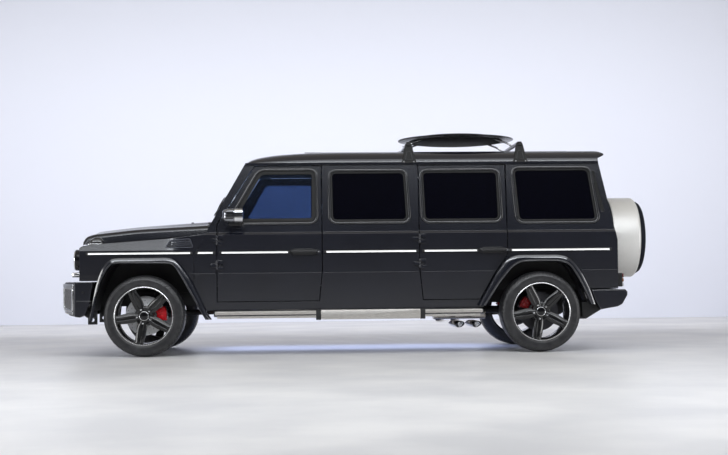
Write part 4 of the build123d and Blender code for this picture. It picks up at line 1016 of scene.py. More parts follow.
for name, (body, x1, x0) in sideStrips.items():
    s = stripSettings
    low, high = s["level"] - s["height"] / 2, s["level"] + s["height"] / 2
    base = bar(x0, x1, low, high, -0.004, s["proud"] - 0.004, 0.005)
    # the bright insert is a wedge whose face leans back, so that it looks up at the light
    u = np.array((x0 + s["cap"], x1 - s["cap"]))
    wedge = [(-0.5, -0.003), (-0.5, 1), (-0.42, 1.28), (0.42, 0.75), (0.5, 0.6), (0.5, -0.003)]
    sidePiece("strip_base_" + name, merged(base, merged(bar(x0, x0 + s["cap"], low + 0.001, high - 0.001, 0,
        s["proud"] + 0.001, 0.005), bar(x1 - s["cap"], x1, low + 0.001, high - 0.001, 0, s["proud"] + 0.001,
        0.005))), grainPlastic, body)
    sidePiece("strip_insert_" + name, loop([onSkin(np.full(6, x),
        s["level"] + s["insert"] * np.array([p[0] for p in wedge]),
        s["proud"] * np.array([p[1] for p in wedge])) for x in u]), stripChrome, body, 80)


# Pressed crease line below the trim strip
creaseLevel = 0.777
creases = {"cowl": ("body", 1.672, 1.404), "front_door": ("front_door", 1.372, 0.4),
    "middle": ("body", 0.376, -0.53), "rear_door": ("rear_door", -0.562, -1.27),
    "quarter": ("body", -2.105, -2.436)}
for name, (body, x1, x0) in creases.items():
    line = np.column_stack([np.linspace(x0, x1, 6), np.full(6, creaseLevel)])
    sidePiece("side_crease_" + name, strip(line, 0.0075, 0.0022, onSkin, 4), paint, body, 80)


# Arch flares: a section with a broad rounded shoulder and a beaded inner lip, carried round each opening
flareSettings = {"front": (2.075, [(-635, 345), (-597, 401), (-537, 524), (-437, 729), (-346, 858),
    (-295, 915), (-245, 936), (272, 936), (322, 918), (373, 863), (413, 779), (449, 667), (474, 535),
    (509, 345)], [(-581, 345), (-535, 422), (-444, 586), (-354, 750), (-293, 853), (-242, 880), (275, 884),
    (305, 869), (356, 799), (396, 718), (457, 535), (497, 345)]), "rear": (-1.695,
    [(-520, 450), (-469, 599), (-398, 746), (-326, 850), (-265, 907), (-180, 930), (237, 930), (323, 899),
    (422, 766), (568, 513), (604, 450)], [(-473, 450), (-435, 538), (-376, 661), (-304, 783), (-256, 840),
    (-170, 866), (136, 868), (210, 855), (284, 807), (396, 669), (539, 450)]), "shoulder": 0.037,
    "depth": 0.04, "bead": 0.009, "face": 0.927}


def evenly(points, count):
    # the line with its corners rounded, at equal steps of its length
    line = softLine(points, 0.045, 7)
    length = np.concatenate([[0], np.cumsum(np.linalg.norm(np.diff(line, axis=0), axis=1))])
    place = np.linspace(0, length[-1], count)
    return np.column_stack([np.interp(place, length, line[:, 0]), np.interp(place, length, line[:, 1])])


def flareShape(axle, outer, inner, s):
    outer, inner = (evenly(np.array(points) / 1000 + (axle, 0), 96) for points in (outer, inner))
    rings = []
    for start, end in zip(outer, inner):
        width = np.linalg.norm(end - start)
        base = float(skinY(start[1])) - 0.004
        across = np.concatenate([[0], s["shoulder"] * np.array([0, 0.05, 0.12, 0.2, 0.22, 0.86, 1]),
            [width - s["bead"], width - 0.007, width - 0.004, width - 0.001, width, width]])
        depth = np.concatenate([[base], s["face"] - s["depth"] * np.array([1, 0.62, 0.36, 0.225, 0.215, 0.055,
            0.02]), [s["face"] - 0.0035, s["face"] - 0.0005, s["face"] + 0.0004, s["face"] - 0.0008,
            s["face"] - 0.004, base]])
        spot = start + (end - start) * (across / width)[:, None]
        rings.append(np.column_stack([spot[:, 0], depth, spot[:, 1]]))
    return loop(rings)


pair("arch_flares_look", merged(*[flareShape(*flareSettings[place], flareSettings) for place in ("front",
    "rear")]), flarePaint, ["arch_flares"], 40)


# Door furniture
handleSettings = {"front_door": 0.565, "rear_door": -1.241, "level": 0.978, "half": 0.12}


def handleShape(x):
    # pull bar standing off the skin: a rounded tube that drops to the skin at both ends
    half, z = handleSettings["half"], handleSettings["level"]
    u = np.linspace(-1, 1, 41)
    reach = 0.0425 * np.clip((1 - u ** 2) * 6, 0, 1) ** 0.5
    path = np.stack([x + u * half, skinY(z) + 0.002 + reach, np.full_like(u, z)], 1)
    points, faces = tube(path, 0.0125)
    points[:, 2] = z + (points[:, 2] - z) * 1.35
    return points, faces


def buttonShape(x):
    # round lock cylinder with a stepped collar at the rear end of the handle
    z = handleSettings["level"]
    profile = [(0, 0), (0, 0.0165), (0.036, 0.0165), (0.04, 0.015), (0.044, 0.015), (0.047, 0.0125),
        (0.047, 0.005), (0.045, 0.004), (0.045, 0)]
    return lathe(profile, (x, skinY(z) + 0.005, z), "Y", 36)


for door in ("front_door", "rear_door"):
    x = handleSettings[door]
    z = handleSettings["level"]
    cup = slab(rectangle(x - 0.105, z - 0.03, x + 0.105, z + 0.03, 0.022), -0.002, 0.0035, onSkin, 0.002, 2)
    sidePiece("handle_backing_" + door, cup, smoothPlastic, door)
    sidePiece("handle_feet_" + door, merged(*[slab(rectangle(c - 0.024, z - 0.021, c + 0.024, z + 0.021,
        0.008, 5), 0, 0.012, onSkin, 0.004) for c in (x - 0.106, x + 0.106)]), grainPlastic, door)
    sidePiece("handle_bar_" + door, handleShape(x), smoothPlastic, door, 60)
    sidePiece("handle_button_" + door, buttonShape(x - 0.137), chrome, door)


hingeSettings = {"levels": (0.812, 1.05), "reach": 0.858, "doors": {"front_door": 1.389, "rear_door": -0.541}}


def hingeBarrels(x):
    # barrels beside the skin with domed pins
    parts = []
    centre = (x, hingeSettings["reach"], 0)
    for z in hingeSettings["levels"]:
        for step, high in ((0, 0.028), (0.029, 0.028), (0.058, 0.028)):
            parts.append(lathe([(z + step, 0), (z + step, 0.0098), (z + step + 0.002, 0.0108),
                (z + step + high - 0.002, 0.0108), (z + step + high, 0.0098), (z + step + high, 0)], centre,
                "Z", 24))
        parts.append(lathe([(z + 0.086, 0), (z + 0.086, 0.0065), (z + 0.09, 0.005), (z + 0.0915, 0)], centre,
            "Z", 20))
    return merged(*parts)


pair("hinge_barrels", merged(*map(hingeBarrels, hingeSettings["doors"].values())), paint)
for door, x in hingeSettings["doors"].items():
    leaf = merged(*[merged(slab(rectangle(x - 0.058, z - 0.004, x - 0.012, z + 0.09, 0.008, 4), -0.001, 0.004,
        onSkin, 0.0015, 2), moved(hexHead(0.006, 0, 0.005), (x - 0.038, skinY(z) + 0.003, z + 0.018)),
        moved(hexHead(0.006, 0, 0.005), (x - 0.038, skinY(z) + 0.003,
        z + 0.068))) for z in hingeSettings["levels"]])
    sidePiece("hinge_leaf_" + door, leaf, paint, door)


# Wing louvre, air slot beside the quarter window, fuel flap, gutter
louvreSettings = {"front": 1.868, "rear": 1.617, "low": 1.035, "high": 1.106, "slots": 3}


def louvreShapes(s):
    # a recessed dark panel in a raised frame, with sloping fins between the slots
    outline = roundOutline([(s["rear"] + 0.004, s["low"]), (s["front"], s["low"] + 0.002),
        (s["front"] - 0.04, s["high"] - 0.012), (s["rear"] + 0.03, s["high"])], 0.01, 5)
    frame = frameBand(outline, 0.01, onSkin, -0.004, 0.0065)
    back = slab(outline, -0.003, 0.0008, onSkin, 0.0005, 1)
    fins = []
    pitch = (s["high"] - s["low"]) / (s["slots"] + 1)
    for index in range(1, s["slots"] + 1):
        z = s["low"] + pitch * index
        x1 = s["front"] - 0.04 * (z - s["low"]) / (s["high"] - s["low"]) - 0.004
        fins.append(bar(s["rear"] + 0.016, x1, z - 0.0035, z + 0.0035, 0, 0.007, 0.003))
    return frame, back, merged(*fins)


frame, back, fins = ((leaned(points), faces) for points, faces in louvreShapes(louvreSettings))
# frame and fins take the lighter louvre paint: painted highlight
pair("wing_louvre_frame", frame, louvreHighlightPaint, (), 50)
pair("wing_louvre_back", back, seal)
pair("wing_louvre_fins", fins, louvreHighlightPaint)

slotPath = np.array([(-2.232, 1.735), (-2.318, 1.34)])


def slotShapes():
    # a narrow upright vent that follows the lean of the rear pillar
    top, bottom = slotPath
    along = unit(bottom - top)
    across = np.array([along[1], -along[0]])
    corners = [top + across * 0.017, top - across * 0.017, bottom - across * 0.017, bottom + across * 0.017]
    outline = roundOutline(corners, 0.012)
    frame = frameBand(outline, 0.007, onSkin, -0.003, 0.006, 0.0025)
    ribs = []
    for share in np.linspace(0.05, 0.95, 22):
        spot = top + (bottom - top) * share
        ribs.append(slab(roundOutline([spot + across * 0.016 - along * 0.003,
            spot - across * 0.016 - along * 0.003, spot - across * 0.016 + along * 0.003,
            spot + across * 0.016 + along * 0.003], 0.0015, 2), 0, 0.0045, onSkin, 0.001, 1))
    return frame, merged(slab(outline, -0.002, 0.001, onSkin, 0.0005, 1), *ribs)


frame, ribs = slotShapes()
pair("pillar_vent_frame", frame, paint, (), 50)
pair("pillar_vent_ribs", ribs, seal)

flapOutline = rectangle(-1.7, 1.03, -1.54, 1.135, 0.016, 5)
flap = slab(flapOutline, -0.004, 0.002, onSkin, 0.0015, 2)
gap = frameBand(flapOutline, 0.0035, onSkin, -0.003, 0.0004, 0.0002, 1)
piece("fuel_flap", mirrored(flap), paint)
piece("fuel_flap_gap", mirrored(gap), seal)

# rain gutter: an upturned channel under the roof edge, from the screen to the tail
gutter = {"front": 1.118, "rear": -2.29, "place": (0.757, 1.821)}
gutterSection = mm([(-4, -10), (16, -10), (20, -6), (20, 10), (17, 12), (14.5, 10), (14.5, -3), (12, -5),
    (-4, -5)])
pair("rain_gutters", loop([atX(x, gutterSection + gutter["place"]) for x in np.linspace(gutter["front"],
    gutter["rear"], 60)]), paint)
print("side trim made")


# Bonnet: stations along the vehicle hold the edge, side and dome heights
bonnetSettings = {"stations": [(2.681, 1.068, 1.104, 1.11), (2.662, 1.069, 1.132, 1.146),
    (2.635, 1.07, 1.15, 1.176), (2.59, 1.072, 1.164, 1.198), (2.545, 1.074, 1.172, 1.214),
    (2.35, 1.09, 1.193, 1.237), (2.155, 1.104, 1.212, 1.256), (1.82, 1.135, 1.23, 1.279),
    (1.49, 1.164, 1.246, 1.3)], "half": 0.64, "dome": 0.34, "shoulder": 0.42, "wall": 0.026}


def bonnetShape(s):
    # half section: edge, side, shoulder and dome with rounded corners, mirrored across;
    # an inner copy a wall thickness below closes the shell
    stations = smoothPath(s["stations"], 5)
    rings = []
    for x, low, side, dome in stations:
        high = max(side, low + 0.034)
        half = softLine([(s["half"], low), (s["half"] - 0.008, high - 0.03), (s["half"] - 0.034, high),
            (s["shoulder"] + 0.02, high + 0.011), (s["dome"], max(dome - 0.008, high + 0.004)),
            (0, max(dome, high + 0.006))], (0, 0.014, 0.022, 0.045, 0.05, 0), 6)
        outer = np.concatenate([half, half[-2::-1] * (-1, 1)])
        middle = np.array([0, low - 0.2])
        inner = outer + inwardNormals(np.concatenate([outer, [middle]]))[:-1] * s["wall"]
        inner[:, 1] = np.maximum(inner[:, 1], low + 0.002)
        section = np.concatenate([outer, inner[::-1]])
        rings.append(atX(x, section))
    return merged(loop(rings), roundBox((2.64, -0.612, 1.07), (2.676, 0.612, 1.104), 0.01),
        roundBox((1.494, -0.605, 1.168), (1.516, 0.605, 1.238), 0.008))


piece("bonnet_look", bonnetShape(bonnetSettings), paint, ["bonnet"], 40, body="bonnet")


def bonnetHeight(x, y):
    # height of the bonnet's skin, between its stations and across its width
    table = np.array(bonnetSettings["stations"])[::-1]
    side, dome = np.interp(x, table[:, 0], table[:, 2]), np.interp(x, table[:, 0], table[:, 3])
    return np.interp(np.abs(y), [0, 0.34, 0.44, 0.606], np.array([dome, dome - 0.008, side + 0.011, side]))


piece("washer_nozzles", merged(*[moved(merged(roundBox((-0.014, -0.011, -0.004), (0.014, 0.011, 0.007),
    0.005), lathe(mm([(2, 0), (2, 4.5), (7.5, 4), (8.5, 0)]), (0.004, 0, 0), "Z", 16)),
    (1.66, y, bonnetHeight(1.66, y))) for y in (-0.3, 0.3)]), smoothPlastic, body="bonnet")


def underBonnet(u, v, depth):
    # z falls towards the nose below the bonnet's skin
    return np.stack([u, v, 1.15 + (u - 2.5) * -0.062 + depth], 1)


piece("bonnet_pad", slab(rectangle(1.55, -0.52, 2.5, 0.52, 0.06), 0, 0.012, underBonnet, 0.004, 2), carpet,
    body="bonnet")


# Indicator pods on the wings
podSettings = {"rear": 2.469, "front": 2.611, "inner": 0.692, "outer": 0.798}


def podShape(s, low, high):
    # rings shrink towards the top as a quarter ellipse; the crown leans back from the nose
    share = np.linspace(0, 1, 14)
    size = np.sqrt(np.clip(1 - share ** 2.2, 0, 1)) * 0.97 + 0.03
    middle = np.array([(s["rear"] + s["front"]) / 2, (s["inner"] + s["outer"]) / 2])
    outline = roundedRectangle(s["front"] - s["rear"], s["outer"] - s["inner"], 0.04, 8)
    rings = [np.column_stack([middle + outline * (0.35 * k + 0.65, 1) * k - (0.018 * t, 0),
        np.full(len(outline), low + (high - low) * t)]) for t, k in zip(share, size)]
    return loop(rings)


pair("indicator_lens", podShape(podSettings, 1.072, 1.14), smokeLens, ["turn_signals"])
pair("indicator_base", slab(rectangle(2.462, 0.686, 2.618, 0.804, 0.036, 8), 1.058, 1.076, liftXY, 0.005),
    satinChrome)


# Grille: surround, three bars with bright inserts, mesh behind
grilleSettings = {"back": 2.662, "front": 2.712, "low": 0.778, "high": 1.022, "half": 0.497,
    "bars": (0.84, 0.9, 0.96), "barHeight": 0.03}


def grilleShapes(s):
    outline = rectangle(-s["half"] + 0.03, s["low"] + 0.022, s["half"] - 0.03, s["high"] - 0.022, 0.03, 7)
    frame = frameBand(outline, 0.028, liftYZ, s["back"] - 0.01, s["front"], 0.009, 4)
    mesh = slab(outline, s["back"] - 0.004, s["back"] - 0.001, liftYZ, 0.0005, 1)
    back = slab(outline, s["back"] - 0.014, s["back"] - 0.008, liftYZ, 0.0005, 1)
    bars, inserts = [], []
    for z in s["bars"]:
        half = s["barHeight"] / 2
        ends = s["half"] - 0.03
        bars.append(slab(rectangle(-ends, z - half, ends, z + half, 0.006, 3), s["back"], s["front"] - 0.006,
            liftYZ, 0.01, 4))
        inserts.append(slab(rectangle(-ends, z - 0.006, ends, z + 0.006, 0.003, 3), s["front"] - 0.012,
            s["front"] - 0.003, liftYZ))
    uprights = [roundBox((s["back"] - 0.002, y - 0.006, s["low"] + 0.02),
        (s["back"] + 0.016, y + 0.006, s["high"] - 0.02), 0.003) for y in np.linspace(-0.36, 0.36, 7)]
    return frame, mesh, back, merged(*bars, *uprights), merged(*inserts)


frame, mesh, back, bars, inserts = grilleShapes(grilleSettings)
piece("grille_frame", frame, glossBlack, ["radiator_grille"], 50)
piece("grille_mesh", mesh, meshWire)
piece("grille_backing", back, seal)
piece("grille_bars", bars, glossBlack)
piece("grille_inserts", inserts, satinChrome)


# Headlamps: bright ring, faceted bowl, projector and clear cover, with a day lamp below each
lampCentre = (0, 0.64, 0.921)
lampParts = {"surrounds": (glossBlack, 96, True, [[(2680, 76.5), (2680, 103), (2740, 101), (2744.5, 99),
    (2744.5, 88.5), (2722, 76.5)]]), "rings": (chrome, 96, True, [[(2744, 100), (2750, 98.5), (2753.5, 95),
    (2752, 90.5), (2744, 88)], [(2688, 100), (2688, 106), (2692, 106), (2694, 104), (2694, 100)]]),
    "bowls": (bowlFinish, 64, False, [[(2645, 0), (2645, 30), (2652, 46), (2668, 62), (2696, 72.5),
    (2722, 76.5), (2722, 78), (2690, 77.8), (2660, 70), (2640, 50), (2636, 0)]]),
    "housings": (smoothPlastic, 64, False, [[(2630, 0), (2630, 82), (2690, 86), (2692, 78), (2640, 72),
    (2634, 0)]]), "projectors": (whiteLens, 48, False, [[(2645, 0), (2645, 26), (2688, 29), (2694, 27.5),
    (2702, 21), (2707, 11), (2708.5, 0)]]), "collars": (chrome, 48, True,
    [[(2676, 30), (2692, 32.5), (2697, 31), (2694, 28.5)]]), "covers": (lampGlass, 64, False,
    [[(2724, 76.2), (2745, 75), (2757, 64), (2763, 45), (2766.5, 24), (2767.5, 0), (2765, 0), (2764, 24),
    (2760.5, 45), (2754.5, 62.5), (2743, 72.5), (2722, 74)]])}
for name, (finish, steps, closed, profiles) in lampParts.items():
    shapes = [lathe(mm(profile), lampCentre, "X", steps, closed) for profile in profiles]
    pair("headlamp_" + name, merged(*shapes), finish, ["headlamps"] if name == "bowls" else [])
dayOutline = rectangle(0.545, 0.758, 0.735, 0.802, 0.018)
pair("day_lamp_cases", slab(dayOutline, 2.684, 2.758, liftYZ, 0.01, 4), smoothPlastic)
pair("day_lamp_rings", frameBand(dayOutline + inwardNormals(dayOutline) * 0.006, 0.007, liftYZ, 2.69, 2.768,
    0.004), chrome, (), 50)
pair("day_lamp_units", merged(*[slab(rectangle(y - 0.013, 0.769, y + 0.013, 0.791, 0.005, 4), 2.748, 2.758,
    liftYZ) for y in np.linspace(0.57, 0.71, 5)]), whiteLens)


# Front bumper: meshed intakes in bright frames on the corner facets, blank plate, lower blade
facet = {"start": (2.875, 0.62), "end": (2.705, 0.9275)}


def onFacet(u, v, depth):
    # u runs round the corner facet from the front, v up, depth out of it
    start, end = np.array(facet["start"]), np.array(facet["end"])
    along = unit(end - start)
    x = start[0] + along[0] * u + along[1] * depth
    y = start[1] + along[1] * u - along[0] * depth
    return np.stack([x, y, v], 1)


intakeOutline = roundOutline(mm([(62, 470), (262, 452), (262, 640), (52, 650)]), 0.022)
lip = slab(roundOutline(mm([(30, 662), (300, 655), (300, 690), (20, 697)]), 0.01, 4), -0.004, 0.008, onFacet,
    0.004)
pair("bumper_intake_frames", merged(frameBand(intakeOutline, 0.026, onFacet, -0.006, 0.01, 0.005), lip,
    slab(roundOutline(mm([(70, 420), (290, 402), (290, 430), (66, 448)]), 0.01, 4), -0.006, 0.006, onFacet)),
    satinChrome, (), 50)
pair("bumper_intake_mesh", slab(intakeOutline, -0.004, 0.0035, onFacet, 0.001, 1), meshWire)
pair("bumper_intake_backing", slab(intakeOutline, -0.004, 0.0012, onFacet, 0.0005, 1), seal)

blade = slab(roundOutline(mm([(-580, 405), (580, 405), (560, 440), (-560, 440)]), 0.012, 5), 2.8, 2.852,
    liftYZ, 0.008)
plateOutline = rectangle(-0.262, 0.532, 0.262, 0.644, 0.01, 5)
piece("bumper_centre_blade", blade, stainless)
piece("front_plate_blank", slab(plateOutline, 2.888, 2.894, liftYZ, 0.0015, 2), greyPlastic)
piece("front_plate_holder", frameBand(plateOutline, 0.009, liftYZ, 2.887, 2.8948, 0.002, 2), smoothPlastic,
    (), 50)
ridge = np.column_stack([np.linspace(2.7, 2.56, 12), np.linspace(0.531, 0.529, 12)])


def onBumperSide(u, v, depth):
    return np.stack([u, 0.919 + depth, v], 1)


pair("bumper_side_ridges", strip(ridge, 0.01, 0.0055, onBumperSide), paint)
pair("bumper_sensors", lathe(mm([(0, 0), (0, 10.5), (2.5, 10), (3, 0)]), (2.64, 0.9185, 0.612), "Y", 24),
    smoothPlastic)


# Cowl, wipers and screen surround
screenLow, screenHigh = np.array((1.424, 1.275)), np.array((1.112, 1.822))


def onScreen(u, v, depth):
    # u across, v up the slope of the windscreen in metres, depth out of it
    along = unit(screenHigh - screenLow)
    x = screenLow[0] + along[0] * v + along[1] * depth
    z = screenLow[1] + along[1] * v - along[0] * depth
    return np.stack([x, u, z], 1)


def wiper(pivot, reach, lean):
    # arm from a pivot cap, with a blade across its end
    turn = radians(lean)
    tip = np.array((pivot + reach * sin(turn), 0.03 + reach * cos(turn)))
    arm = np.linspace((pivot, 0), tip, 14)
    depth = 0.018 + 0.016 * np.sin(np.linspace(0.1, pi * 0.9, 14))
    along = np.array((cos(turn), sin(turn) * -1))
    blade = np.linspace(tip - along * 0.25, tip + along * 0.25, 16)
    return merged(tube(onScreen(arm[:, 0], arm[:, 1], depth), np.linspace(0.008, 0.0045, 14), 10),
        tube(onScreen(blade[:, 0], blade[:, 1], np.full(16, 0.012)), 0.0045, 8),
        lathe(mm([(-10, 0), (-10, 16), (18, 14), (24, 0)]), onScreen(np.array([pivot]), np.array([0]),
        np.array([0.008]))[0], "Z", 24))


piece("windscreen_wipers", merged(wiper(-0.1, 0.36, 52), wiper(0.46, 0.36, 52)), smoothPlastic, (), 60)
screenOutline = roundOutline(mm([(-735, 22), (735, 22), (690, 600), (-690, 600)]), 0.05, 8)
piece("windscreen_seal", frameBand(screenOutline, 0.022, onScreen, 0, 0.01, 0.004), seal, (), 50)
piece("cowl_vents", merged(*[roundBox((1.452, y - 0.06, 1.262), (1.484, y + 0.06, 1.276),
    0.003) for y in np.linspace(-0.56, 0.56, 8)]), smoothPlastic)
print("front made")


# Roof: the section across is scaled by the side outline's height at each place along it
roofSettings = {"section": [(0.757, 1.821), (0.752, 1.859), (0.715, 1.909), (0.647, 1.941), (0.427, 1.962),
    (0, 1.972)], "outline": [(1.124, 1.821), (1.108, 1.848), (1.07, 1.882), (0.99, 1.912), (0.87, 1.936),
    (0.675, 1.957), (0.375, 1.972), (-1.845, 1.972), (-2.175, 1.96), (-2.315, 1.938), (-2.363, 1.908),
    (-2.3, 1.868), (-2.293, 1.821)], "low": 1.821, "high": 1.972, "lipLow": 1.862}


def roofShape(s):
    # ahead, every ring is the section with its height above the gutter times the outline's share;
    # behind, the section is cut off at the outline's height, and only its upper part reaches into the lip
    section = softLine(s["section"], (0, 0.018, 0.035, 0.045, 0.1, 0), 6)
    half = np.concatenate([section, section[-2::-1] * (-1, 1)])
    outline = softLine(s["outline"], (0, 0.02, 0.03, 0.05, 0.08, 0.12, 0.25, 0.3, 0.1, 0.035, 0.014, 0.02, 0),
        6)
    share = (outline[:, 1] - s["low"]) / (s["high"] - s["low"])
    rings = []
    tail = s["outline"][-1][0]
    for (x, z), k in zip(outline, share):
        height = s["low"] + (half[:, 1] - s["low"]) * max(k, 0.012) if x > 0 else np.minimum(half[:, 1], z)
        along = tail + (x - tail) * np.clip((height - s["lipLow"]) / 0.03, 0, 1) if x < tail else x
        rings.append(np.column_stack([np.broadcast_to(along, height.shape), half[:, 0], height]))
    return loop(rings)


piece("roof_look", roofShape(roofSettings), paint, ["roof_panel"], 40)


def onRoof(u, v, depth):
    # the roof falls away from its crown with the distance from the middle to the power 1.2
    return np.stack([u, v, 1.9715 - 0.01 * (np.abs(v) / 0.427) ** 1.2 + depth], 1)


beads = [strip(np.column_stack([np.linspace(0.55, -2.05, 30), np.full(30, y)]), 0.012, 0.0035,
    onRoof) for y in (-0.42, -0.21, 0, 0.21, 0.42)]
piece("roof_beads", merged(*beads), paint)
piece("roof_aerial_base", moved(merged(slab(roundedRectangle(0.05, 0.034, 0.015, 5), 0, 0.006, liftXY, 0.002,
    2), lathe(mm([(4, 0), (4, 14), (18, 11), (26, 6), (28, 0)]), (0, 0, 0), "Z", 24)), (-1.935, 0, 1.9705)),
    smoothPlastic)


# Roof bars, towers and the round aerial housing
towerSettings = {"stations": (-0.455, -1.535), "foot": 0.069, "head": 0.03, "low": 1.826, "high": 2.016}
barSettings = {"level": 2.018, "half": 0.704, "width": 0.034, "height": 0.026}


def towerShape(x, s):
    # an A shaped clamp that leans in over the gutter, with a cross tie and a foot plate
    def lift(u, v, depth):
        return np.stack([x + u, 0.772 - 0.235 * (v - s["low"]) + depth, v], 1)

    outline = roundOutline([(-s["foot"], s["low"]), (s["foot"], s["low"]), (s["head"], s["high"]),
        (-s["head"], s["high"])], 0.012, 5)
    inner = roundOutline([(-0.032, s["low"] + 0.034), (0.032, s["low"] + 0.034), (0.015, s["low"] + 0.11),
        (-0.015, s["low"] + 0.11)], 0.01, 5)
    rim = frameBand(inner, 0.007, lift, -0.001, 0.0055, 0.0025, 2)
    bolts = [moved(hexHead(0.0072, 0, 0.008), (x + u, 0.772 + 0.009, s["low"] + 0.01)) for u in (-0.046,
        0.046)]
    return merged(slab(outline, -0.034, 0, lift, 0.006), slab(roundOutline([(-s["foot"] - 0.004,
        s["low"] - 0.002), (s["foot"] + 0.004, s["low"] - 0.002), (s["foot"] - 0.004, s["low"] + 0.022),
        (-s["foot"] + 0.004, s["low"] + 0.022)], 0.006, 3), -0.04, 0.01, lift, 0.004),
        slab(rectangle(-0.022, 1.99, 0.022, 2.03, 0.01, 5), -0.03, 0.012, lift, 0.006)), rim, merged(*bolts)


towers, rims, bolts = [], [], []
for x in towerSettings["stations"]:
    tower, rim, bolt = towerShape(x, towerSettings)
    towers.append(tower)
    rims.append(rim)
    bolts.append(bolt)
pair("roof_towers", merged(*towers), seal, ["roof_bars"], 40)
pair("roof_tower_recesses", merged(*rims), smoothPlastic, (), 50)
pair("roof_tower_bolts", merged(*bolts), chrome)


def barShape(x, s):
    # extruded bar with a slot along its top
    w, h = s["width"] / 2, s["height"] / 2
    section = roundOutline([(-w, -h), (w, -h), (w, h), (0.005, h), (0.005, h - 0.006), (-0.005, h - 0.006),
        (-0.005, h), (-w, h)], (0.006, 0.006, 0.006, 0.001, 0.001, 0.001, 0.001, 0.006), 4)
    stations = np.linspace(-s["half"], s["half"], 3)
    return loop([np.column_stack([x + section[:, 0], np.full(len(section), y),
        s["level"] + section[:, 1]]) for y in stations])


piece("roof_bars_look", merged(*[barShape(x, barSettings) for x in towerSettings["stations"]]), barAlloy)
aerialX = -0.995


def aerialShape(x):
    # a thin plate with a bevelled rim and a raised lid, and a matt tray below it, turned about a post
    plate = [(2.107, 0), (2.107, 0.5), (2.1085, 0.51), (2.113, 0.57), (2.115, 0.584), (2.1175, 0.589),
        (2.1205, 0.5893), (2.123, 0.585), (2.1265, 0.54), (2.13, 0.44), (2.1312, 0.398), (2.133, 0.393),
        (2.148, 0.388), (2.1515, 0.384), (2.153, 0.372), (2.153, 0)]
    tray = [(2.0985, 0), (2.0985, 0.465), (2.1, 0.476), (2.1075, 0.48), (2.1075, 0)]
    return [lathe(profile, (x, 0, 0), "Z", 144) for profile in (plate, tray)]


plate, tray = aerialShape(aerialX)
piece("aerial_housing", plate, aerialPaint, ["roof_aerial"], 24)
piece("aerial_tray", tray, seal, (), 24)
piece("aerial_screws", merged(*[lathe(mm([(2152.5, 0), (2152.5, 7), (2154.5, 6), (2155, 0)]),
    (-0.995 + 0.365 * cos(a), 0.365 * sin(a), 0), "Z", 12) for a in np.arange(8) * pi / 4]), satinChrome)
feet = []
for x in towerSettings["stations"]:
    toward = 1 if x < aerialX else -1
    for y in (-0.3, 0.3):
        feet.append(tube(smoothPath([(x, y, 2.03), (x + toward * 0.02, y, 2.04),
            (x + toward * 0.075, y * 0.92, 2.07), (x + toward * 0.165, y * 0.85, 2.101)], 5), 0.009, 12))
        feet.append(roundBox((x - 0.026, y - 0.03, 2.028), (x + 0.026, y + 0.03, 2.04), 0.005))
piece("aerial_brackets", merged(*feet), satinChrome)


# Spare wheel cover on its carrier, cargo door fittings
coverSettings = {"across": -0.02, "up": 1.112}
coverCentre = (0, coverSettings["across"], coverSettings["up"])
ring = lathe(mm([(-2530, 394), (-2530, 401), (-2533, 404.2), (-2538, 405), (-2778, 405), (-2786, 403.5),
    (-2794, 399), (-2802, 392), (-2808, 383), (-2810, 372), (-2806, 365)]), coverCentre, "X", 160, True)
face = lathe(mm([(-2800, 0), (-2800, 369), (-2814, 370), (-2834, 367), (-2854, 354), (-2866, 334),
    (-2874, 305), (-2883, 260), (-2886, 240), (-2885, 234), (-2887, 228), (-2892, 200), (-2894, 150),
    (-2894.5, 0)]), coverCentre, "X", 160)
piece("spare_drum", solid([(-2565, 378), (-2572, 388), (-2585, 392), (-2780, 392)], coverCentre, "X", 128),
    grainPlastic, ["spare_wheel_cover"], body="cargo_door")
piece("spare_ring", ring, coverSteel, body="cargo_door")
piece("spare_face", face, coverFace, body="cargo_door")
carrierArms = []
for turn in (50, 130, 230, 310):
    angle = radians(turn)
    end = np.array((-2.556, coverSettings["across"] + 0.26 * cos(angle),
        coverSettings["up"] + 0.26 * sin(angle)))
    carrierArms.append(tube([(-2.475, end[1] * 0.8, end[2] * 0.9 + 0.111), (-2.52, end[1] * 0.95, end[2]),
        end], 0.014, 12))
piece("spare_carrier", merged(slab(roundedRectangle(0.34, 0.22, 0.03) + (0, 1.112), -2.563, -2.455, liftYZ,
    0.006), *carrierArms), chassisPaint, body="cargo_door")

tailSettings = {"low": (-2.453, 1.063), "high": (-2.285, 1.864), "doorOut": 0.014}


def onTail(u, v, depth):
    # u across, v height; x follows the leaning rear face, depth out to the rear
    lean = np.interp(v, [tailSettings["low"][1], tailSettings["high"][1]],
        [tailSettings["low"][0], tailSettings["high"][0]])
    return np.stack([lean - tailSettings["doorOut"] - depth, u, v], 1)


